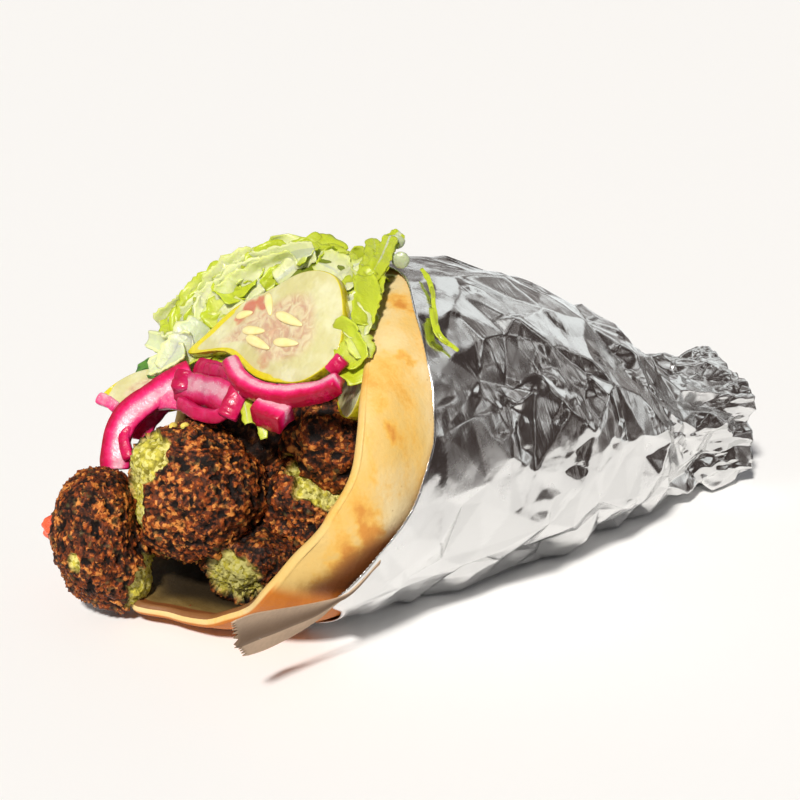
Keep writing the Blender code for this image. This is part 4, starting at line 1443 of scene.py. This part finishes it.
def leaf_finish():
    made = Finish("lettuce", roughness=0.35, coat_weight=0.15, coat_roughness=0.15,
                  subsurface_weight=0.4, subsurface_radius=(0.003, 0.004, 0.001),
                  subsurface_scale=0.7)
    place = made.place()
    rib = made.read("rib")
    tint = made.read("tint")
    veins = made.noise(place, 320, detail=4, distortion=0.8)
    cloud = made.noise(place, 90, detail=3)
    green = made.mix(made.step(cloud + (tint - 0.5) * 0.6, 0.3, 0.75), hue("leaf"),
                     (0.70, 0.78, 0.18))
    pale = made.mix(made.step(tint + (veins - 0.5) * 0.3, 0.30, 0.80) * 0.85, green,
                    (0.72, 0.78, 0.42))
    ribbed = made.mix(made.step(rib + (veins - 0.5) * 0.5, 0.45, 0.8), pale, hue("leaf_rib"))
    ribbed = made.mix(made.read("shade") * 0.85, ribbed, (0.09, 0.12, 0.003))
    return made.use(base_color=ribbed, roughness=0.28 + cloud * 0.25,
                    normal=made.bump(veins, 0.0008, 0.6))



def shred_points(path, width, ruffle, curl, seed, face):
    """A net of points for one ruffled shred of leaf along a path."""
    reach, steps = steps_along(path, SHRED_STEP)
    rows = []
    for step in range(steps + 1):
        share = step / steps
        centre, side, up = axes_along(path, share, 0.03, face)
        narrow = 0.45 + 0.55 * math.sin(math.pi * min(max(share, 0.01), 0.99)) ** 0.35
        narrow *= 1 + 0.25 * noise.noise(Vector((share * 6, seed, 4)))
        row = []
        for across in np.linspace(-1, 1, SHRED_ACROSS):
            edge = abs(across) ** 2
            phase = share * reach / 7.5 + seed * 1.7 + across * 0.6
            wave = math.sin(phase * 2 * math.pi) * edge * 0.6
            wave += noise.noise(Vector((share * reach / 9, across * 1.6, seed * 2.3))) * 1.1
            lift = wave * ruffle + curl * across ** 2 * width / 2
            jag = 1 + 0.22 * edge * noise.noise(Vector((share * reach / 1.6, across, seed)))
            row.append(centre + side * across * jag * narrow * width / 2 + up * lift)
        rows.append(row)
    return np.array(rows)


def stretched(path, by=0.35):
    """The path with both of its ends carried on a little."""
    points = [Vector(point) for point in path]
    first = points[0] + (points[0] - points[1]) * by
    last = points[-1] + (points[-1] - points[-2]) * by
    return [first, *points[1:-1], last]


def build_shreds(name, material, leaves, chance, ruffle=1.0, thickness=0.35):
    """Many shreds of leaf as one mesh, each with its own tint and pale rib."""
    points, faces, ribs, tints = [], [], [], []
    across = np.linspace(-1, 1, SHRED_ACROSS)
    for number, (path, width, tint, rib) in enumerate(leaves):
        face = Vector(LEAF_FACE) + Vector(chance.uniform(-0.45, 0.45) for _ in range(3))
        lift = ruffle * chance.uniform(0.4, 0.9) * min(width / 7, 1.2)
        curl = chance.uniform(-0.3, 0.3)
        net = shred_points(stretched(path), width * 1.3, lift, curl, number * 1.37, face)
        faces += strip_faces(len(net), SHRED_ACROSS, len(points), closed=False)
        points += net.reshape(-1, 3).tolist()
        shape = smooth_step((rib - np.abs(across - chance.uniform(-0.4, 0.4) * (1 - rib))) / 0.3)
        ribs += np.outer(np.linspace(1.0, 0.6, len(net)), shape).ravel().tolist()
        edge = 0.25 * np.abs(across) ** 3
        tints += np.tile(tint - edge, len(net)).tolist()
    piece = new_object(name, points, faces, [material])
    set_attribute(piece, "rib", ribs)
    set_attribute(piece, "tint", tints)
    apply_modifier(piece, "SOLIDIFY", thickness=thickness * MM, offset=0.0)
    return piece




def heap_points(out):
    """From directions to points of the heap's surface."""
    spread = turned(out * np.array(LETTUCE["size"]), math.radians(LETTUCE["turn"]))
    spread[:, 2] -= LETTUCE["slope"] * spread[:, 1]
    return spread


def behind_pickle(points, gap):
    """Pushes points back behind the front pickle."""
    front = PICKLES["pickle_front"]
    lean = math.radians(front["lean"])
    normal = np.array((-math.cos(lean), 0, math.sin(lean)))
    past = np.maximum((points - np.array(front["at"])) @ normal + gap, 0.0)
    return points - past[:, None] * normal


def build_lettuce_core(material):
    """The dim inside of the heap, a round primitive that the shreds lie over."""
    select_none()
    bpy.ops.mesh.primitive_ico_sphere_add(subdivisions=6, radius=1.0)
    piece = bpy.context.object
    piece.name = piece.data.name = "lettuce_core"
    local = heap_points(read_points(piece)) * LETTUCE["core"]
    rise = noise_at(local, 7, 31) * 2.2 + noise_at(local, 3, 32) * 1.1
    local *= (1 + rise / 24)[:, None]
    points = behind_pickle(local + np.array(LETTUCE["at"]), LETTUCE_BEHIND)
    write_points(piece, points)
    piece.data.materials.append(material)
    piece.data.shade_smooth()
    set_constant(piece, "rib", 0.0)
    set_attribute(piece, "tint", 0.15 + 0.2 * noise_at(points, 5, 33))
    set_constant(piece, "shade", 1.0)
    return place_piece(piece, "lettuce")


def fill_leaves(chance):
    """Paths of short shreds all over the heap, mostly away from its front."""
    leaves = []
    while len(leaves) < FILL_SHREDS:
        out = Vector([chance.gauss(0, 1) for _ in range(3)]).normalized()
        run = Vector([chance.gauss(0, 1) for _ in range(3)]).cross(out).normalized()
        if out.z < -0.25 or out.dot(Vector(LEAF_FACE)) > 0.35:
            continue
        reach = chance.uniform(0.25, 0.5)
        ways = np.array([(out + run * reach * step).normalized() for step in FILL_STEPS])
        path = heap_points(ways) * chance.uniform(0.84, 0.97) + np.array(LETTUCE["at"])
        path = behind_pickle(path, 5.0)
        tint = chance.choice((0.05, 0.15, 0.3, 0.5, 0.75, 0.9))
        rib = chance.choice((0.0, 0.0, 0.2, 0.5, 0.8))
        leaves.append((path.tolist(), chance.uniform(5, 10), tint, rib))
    return leaves


def build_lettuce():
    material = leaf_finish()
    chance = random.Random(17)
    front = build_shreds("lettuce_shreds", material, LEAVES, chance)
    place_piece(front, "lettuce", "lettuce_heap")
    fill = build_shreds("lettuce_fill", material, fill_leaves(chance), chance, ruffle=1.2)
    place_piece(fill, "lettuce")
    build_lettuce_core(material)
    ribs = build_shreds("rib_leaves", material, RIB_LEAVES, chance, 0.3, thickness=0.8)
    place_piece(ribs, "lettuce_rib", "rib_chunk")
    ends = [lump("end", at, size, VIEW_TURN, 4, 0.06, 7) for at, size in RIB_ENDS]
    piece = finish_lumps("rib_ends", ends, material, "lettuce_rib")
    for name, value in (("rib", 1.0), ("tint", 1.0), ("shade", 0.3)):
        set_constant(piece, name, value)
    bits = build_shreds("hanging_leaves", material, HANGING_LEAVES, chance, 0.6)
    place_piece(bits, "lettuce")


# ---------------------------------------------------------------- small things

def herb_finish():
    made = Finish("herb", roughness=0.4)
    cloud = made.noise(made.place(), 400, detail=3)
    return made.use(base_color=made.mix(made.step(cloud, 0.4, 0.6), (0.030, 0.13, 0.012),
                                        (0.10, 0.27, 0.03)))


def build_herbs():
    """A dark herb leaf by the left pickle, and a bright sprig that lies on the foil."""
    chance = random.Random(23)
    leaf = build_shreds("herb_leaf", herb_finish(), HERB_LEAVES, chance, 0.7, thickness=0.3)
    place_piece(leaf, "lettuce")
    sprig = []
    for spots, width in SPRIG:
        path = [body_points(np.array([x]), np.array([math.radians(degrees)]), -SPRIG_LIFT)[0]
                for x, degrees in spots]
        sprig.append((path, width, 0.1, 0.15))
    piece = build_shreds("foil_sprig", leaf_finish(), sprig, chance, 0.8, thickness=0.4)
    place_piece(piece, "lettuce")


def lump(name, at, size, turn=0.0, level=3, rough=0.08, seed=0):
    """A small uneven lump, shaped from a round primitive."""
    select_none()
    bpy.ops.mesh.primitive_ico_sphere_add(subdivisions=level, radius=1.0)
    piece = bpy.context.object
    piece.name = piece.data.name = name
    out = read_points(piece)
    out = out * (1 + rough * noise_at(out, 0.45, seed) * 2)[:, None] * np.array(size)
    write_points(piece, turned(out, turn) + np.array(at))
    return piece


def finish_lumps(name, pieces, material, slot, *nodes):
    piece = join_pieces(name, pieces)
    piece.data.materials.append(material)
    piece.data.shade_smooth()
    return place_piece(piece, slot, *nodes)


def tomato_finish():
    made = Finish("tomato", roughness=0.2, coat_weight=0.4, subsurface_weight=0.3,
                  subsurface_radius=(0.005, 0.001, 0.0008), subsurface_scale=0.6)
    cloud = made.noise(made.place(), 300, detail=3)
    return made.use(base_color=made.mix(cloud, hue("tomato"), (0.86, 0.17, 0.05)),
                    normal=made.bump(cloud, 0.0008, 0.6))


def speck_finish():
    made = Finish("pepper", roughness=0.6)
    cloud = made.noise(made.place(), 900)
    return made.use(base_color=made.mix(cloud, (0.02, 0.012, 0.01), (0.07, 0.03, 0.02)))


def chickpea_finish():
    made = Finish("chickpea", roughness=0.45)
    cloud = made.noise(made.place(), 300)
    return made.use(base_color=made.mix(cloud, (0.80, 0.60, 0.04), (0.84, 0.72, 0.20)))




def build_bits():
    """The tomato, pepper specks, a bit of chickpea, and crumbs inside the pita's lip."""
    tomato = lump("tomato", TOMATO["at"], TOMATO["size"], VIEW_TURN, 5, 0.07, 3)
    finish_lumps("tomato_bit", [tomato], tomato_finish(), "tomato", "tomato_piece")
    pepper = [lump("speck", spot, (0.42, 0.36, 0.3), number, 1, 0.2, number)
              for number, spot in enumerate(PEPPER)]
    finish_lumps("pepper_specks", pepper, speck_finish(), "onion")
    peas = [lump("pea", at, size, turn, 4, 0.06, 5) for at, size, turn in CHICKPEAS]
    finish_lumps("chickpea_bits", peas, chickpea_finish(), "falafel")
    crumbs = [lump("crumb", (x, y, z), (size, size * 0.8, size * 0.7), number, 3, 0.25, number)
              for number, (x, y, z, size) in enumerate(CRUMBS)]
    piece = finish_lumps("crumbs", crumbs, falafel_finish(), "falafel")
    for name, value in (("height", 0.7), ("crumb", 0.0), ("tint", 0.6)):
        set_constant(piece, name, value)




def build_flap():
    """The corner of the sheet under the bread: paper on top, foil below, a toothed cut end."""
    rows, columns = FLAP_ROWS, FLAP_COLUMNS
    downs = np.linspace(0, 1, rows)
    net = np.zeros((rows, columns, 3))
    for column, share in enumerate(np.linspace(0, 1, columns)):
        edges = [along(edge, share) for edge in FLAP]
        for row, down in enumerate(downs):
            part = down * 2 if down < 0.5 else down * 2 - 1
            first, last = edges[:2] if down < 0.5 else edges[1:]
            sag = math.sin(part * math.pi) * (0.9 if down < 0.5 else 0.5) * (1 - share)
            sag -= 1.6 * (1 - abs(2 * down - 1)) ** 8 * (1 - share)
            net[row, column] = first.lerp(last, part) + Vector((0, 0, sag))
    net[:, 0, 0] -= np.arange(rows) % 2 * FLAP_TOOTH
    net[:, :, 2] += noise_at(net.reshape(-1, 3), 9, 41).reshape(rows, columns) * 0.2
    piece = new_object("paper_flap", net.reshape(-1, 3), strip_faces(rows, columns, closed=False),
                       [paper_finish(), foil_finish()])
    # painted shade along the fold: broad above it, narrow below
    valley = np.exp(-((downs - FLAP_VALLEY) / np.where(downs < FLAP_VALLEY, 0.22, 0.07)) ** 2)
    set_attribute(piece, "valley", np.repeat(valley, columns))
    if piece.data.polygons[rows * 20].normal.z < 0:
        piece.data.flip_normals()
    apply_modifier(piece, "SOLIDIFY", thickness=FLAP_SHEET * MM, offset=-1.0)
    for face in piece.data.polygons:
        face.material_index = 0 if face.normal.dot(Vector(FLAP_FACE)) > 0 else 1
    return place_piece(piece, "foil")


# ---------------------------------------------------------------- stage

CAMERA_TURN = math.radians(-42)
CAMERA_RISE = math.radians(21)
CAMERA_FAR = 600
CAMERA_AIM = (0, 0, 45)
CAMERA_LENS = 85.05
CAMERA_SHIFT = (-0.0225, 0.03125)
# What the foil mirrors, from the dim parts of the room to its bright patches.
GLOSSY_SKY = ((0.41, (0.060, 0.046, 0.042)), (0.45, (0.14, 0.118, 0.11)),
              (0.50, (0.32, 0.295, 0.28)), (0.535, (0.43, 0.405, 0.39)),
              (0.555, (1.0, 1.03, 1.02)))
BRIGHT_SIDE = (0.01, 0.025, -0.005)     # the room is a little brighter on this side
SKY_SEED = 3.0
SKY_SCALE = 3.6
DIM_ROOM = (0.14, 0.14, 0.15)           # what lights the wrap beside the lamp
PALE = (0.93, 0.93, 0.93)               # the floor and the background
NEAR_FLOOR = 0.175       # the foil mirrors the floor this far out, and the dim room past it
FAR_FLOOR = 35           # the dim part of the floor reaches this many times further
FLOOR_DROP = 0.0004
KEY_FROM = (-0.60, -0.38, 0.70)
KEY_SPREAD = math.radians(7)
KEY_POWER = 4.1
KEY_COLOUR = (1.0, 0.965, 0.91)


def build_lamp():
    """One distant lamp, so that the floor is lit evenly."""
    lamp = bpy.data.lights.new("key", "SUN")
    lamp.angle, lamp.energy, lamp.color = KEY_SPREAD, KEY_POWER, KEY_COLOUR
    holder = add_object("key", lamp)
    holder.rotation_euler = Vector(KEY_FROM).to_track_quat("Z", "Y").to_euler()


def build_world():
    """Pale where the camera sees it; in the foil, a dim room with bright patches."""
    world = bpy.data.worlds.new("studio")
    world.use_nodes = True
    bpy.context.scene.world = world
    sky = Nodes(world.node_tree)
    way = sky.add("TexCoord")
    cloud = sky.add("TexNoise", dict(noise_dimensions="4D"), vector=way, w=SKY_SEED,
                    scale=SKY_SCALE, detail=2.0)
    toward = sky.add("VectorMath", dict(operation="DOT_PRODUCT"), output=1, i0=way,
                     i1=BRIGHT_SIDE)
    room = sky.add("ValToRGB", dict(stops=GLOSSY_SKY), i0=cloud + toward)
    is_camera, is_glossy = sky.add("LightPath"), sky.add("LightPath", output=3)
    shown = sky.mix(is_camera, sky.mix(is_glossy, DIM_ROOM, room), PALE)
    sky.feed(sky.tree.nodes["Background"].inputs["Color"], shown)


def build_floor():
    """A disc that the foil mirrors, and a wide ring round it that it doesn't."""
    material = Finish("floor", roughness=0.8).use(base_color=PALE)
    for name, fill in (("floor", "NGON"), ("far_floor", "NOTHING")):
        select_none()
        bpy.ops.mesh.primitive_circle_add(vertices=96, radius=NEAR_FLOOR, fill_type=fill,
                                          location=(0, 0, -FLOOR_DROP))
        floor = bpy.context.object
        floor.name = name
        if name == "far_floor":
            bpy.ops.object.mode_set(mode="EDIT")
            bpy.ops.mesh.select_all(action="SELECT")
            bpy.ops.mesh.extrude_region()
            bpy.ops.transform.resize(value=(FAR_FLOOR, FAR_FLOOR, 1), center_override=(0, 0, 0))
            bpy.ops.object.mode_set(mode="OBJECT")
        if floor.data.polygons[0].normal.z < 0:
            floor.data.flip_normals()
        floor.data.materials.append(material)
        floor.visible_glossy = name == "floor"


def build_camera():
    camera = bpy.data.cameras.new("camera")
    camera.lens = CAMERA_LENS
    camera.sensor_width = 36
    camera.shift_x, camera.shift_y = CAMERA_SHIFT
    holder = add_object("camera", camera)
    back = Vector((math.sin(CAMERA_TURN) * math.cos(CAMERA_RISE),
                   -math.cos(CAMERA_TURN) * math.cos(CAMERA_RISE), math.sin(CAMERA_RISE)))
    aim = Vector(to_frame(CAMERA_AIM))
    turn = back.to_track_quat("Z", "Y").to_matrix().to_4x4()
    holder.matrix_world = Matrix.Translation(aim + back * CAMERA_FAR * MM) @ turn
    bpy.context.scene.camera = holder


def build_stage():
    """The pale floor, the room, the lamp and the camera."""
    build_floor()
    build_world()
    build_lamp()
    build_camera()
    bpy.context.scene.view_settings.view_transform = "Standard"


# ---------------------------------------------------------------- operators

class WRAP_OT_foil(bpy.types.Operator):
    """Wrap the foil round the bread and twist its tail"""
    bl_idname = "wrap.foil"
    bl_label = "Foil"

    def execute(self, context):
        build_foil()
        return {"FINISHED"}


class WRAP_OT_bread(bpy.types.Operator):
    """Fold the pita round the filling"""
    bl_idname = "wrap.bread"
    bl_label = "Bread"

    def execute(self, context):
        build_pita()
        return {"FINISHED"}


class WRAP_OT_falafels(bpy.types.Operator):
    """Fry the falafel balls and put them in the pocket"""
    bl_idname = "wrap.falafels"
    bl_label = "Falafels"

    def execute(self, context):
        material = falafel_finish()
        for name, ball in FALAFELS.items():
            build_falafel(name, material, **ball)
        return {"FINISHED"}


class WRAP_OT_onions(bpy.types.Operator):
    """Lay the pickled onion over the falafel"""
    bl_idname = "wrap.onions"
    bl_label = "Onions"

    def execute(self, context):
        build_onions()
        return {"FINISHED"}


class WRAP_OT_pickles(bpy.types.Operator):
    """Lean the pickle slices on the onion and the lettuce"""
    bl_idname = "wrap.pickles"
    bl_label = "Pickles"

    def execute(self, context):
        material, seeds = pickle_finish(), seed_finish()
        for name, piece in PICKLES.items():
            build_pickle(name, material, seeds, **piece)
        return {"FINISHED"}


class WRAP_OT_lettuce(bpy.types.Operator):
    """Heap the shredded lettuce at the back of the mouth"""
    bl_idname = "wrap.lettuce"
    bl_label = "Lettuce"

    def execute(self, context):
        build_lettuce()
        return {"FINISHED"}


class WRAP_OT_bits(bpy.types.Operator):
    """Add the tomato, herbs, specks and crumbs"""
    bl_idname = "wrap.bits"
    bl_label = "Small bits"

    def execute(self, context):
        build_herbs()
        build_bits()
        return {"FINISHED"}


class WRAP_OT_flap(bpy.types.Operator):
    """Hang the sheet's paper-lined corner out under the bread"""
    bl_idname = "wrap.flap"
    bl_label = "Paper flap"

    def execute(self, context):
        build_flap()
        return {"FINISHED"}


class WRAP_OT_stage(bpy.types.Operator):
    """Set the floor, the lights and the camera"""
    bl_idname = "wrap.stage"
    bl_label = "Stage"

    def execute(self, context):
        build_stage()
        return {"FINISHED"}


STEPS = (WRAP_OT_foil, WRAP_OT_flap, WRAP_OT_bread, WRAP_OT_falafels, WRAP_OT_onions,
         WRAP_OT_pickles, WRAP_OT_lettuce, WRAP_OT_bits, WRAP_OT_stage)


class WRAP_PT_panel(bpy.types.Panel):
    """Lists the wrap's settings and steps"""
    bl_label = "Falafel Wrap"
    bl_idname = "WRAP_PT_panel"
    bl_space_type = "VIEW_3D"
    bl_region_type = "UI"
    bl_category = "Wrap"

    def draw(self, context):
        column = self.layout.column()
        for group in (context.scene.wrap_sizes, context.scene.wrap_colours):
            for name in group.bl_rna.properties.keys():
                if name not in ("rna_type", "name"):
                    column.prop(group, name)
        for step in STEPS:
            column.operator(step.bl_idname)


CLASSES = (WrapSizes, WrapColours, *STEPS, WRAP_PT_panel)


def register():
    for cls in CLASSES:
        bpy.utils.register_class(cls)
    bpy.types.Scene.wrap_sizes = PointerProperty(type=WrapSizes)
    bpy.types.Scene.wrap_colours = PointerProperty(type=WrapColours)


def unregister():
    del bpy.types.Scene.wrap_colours
    del bpy.types.Scene.wrap_sizes
    for cls in reversed(CLASSES):
        bpy.utils.unregister_class(cls)


def main():
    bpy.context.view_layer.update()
    register()
    bpy.ops.wrap.foil()
    bpy.ops.wrap.flap()
    bpy.ops.wrap.bread()
    bpy.ops.wrap.falafels()
    bpy.ops.wrap.onions()
    bpy.ops.wrap.pickles()
    bpy.ops.wrap.lettuce()
    bpy.ops.wrap.bits()
    bpy.ops.wrap.stage()


if __name__ == "__main__":
    main()
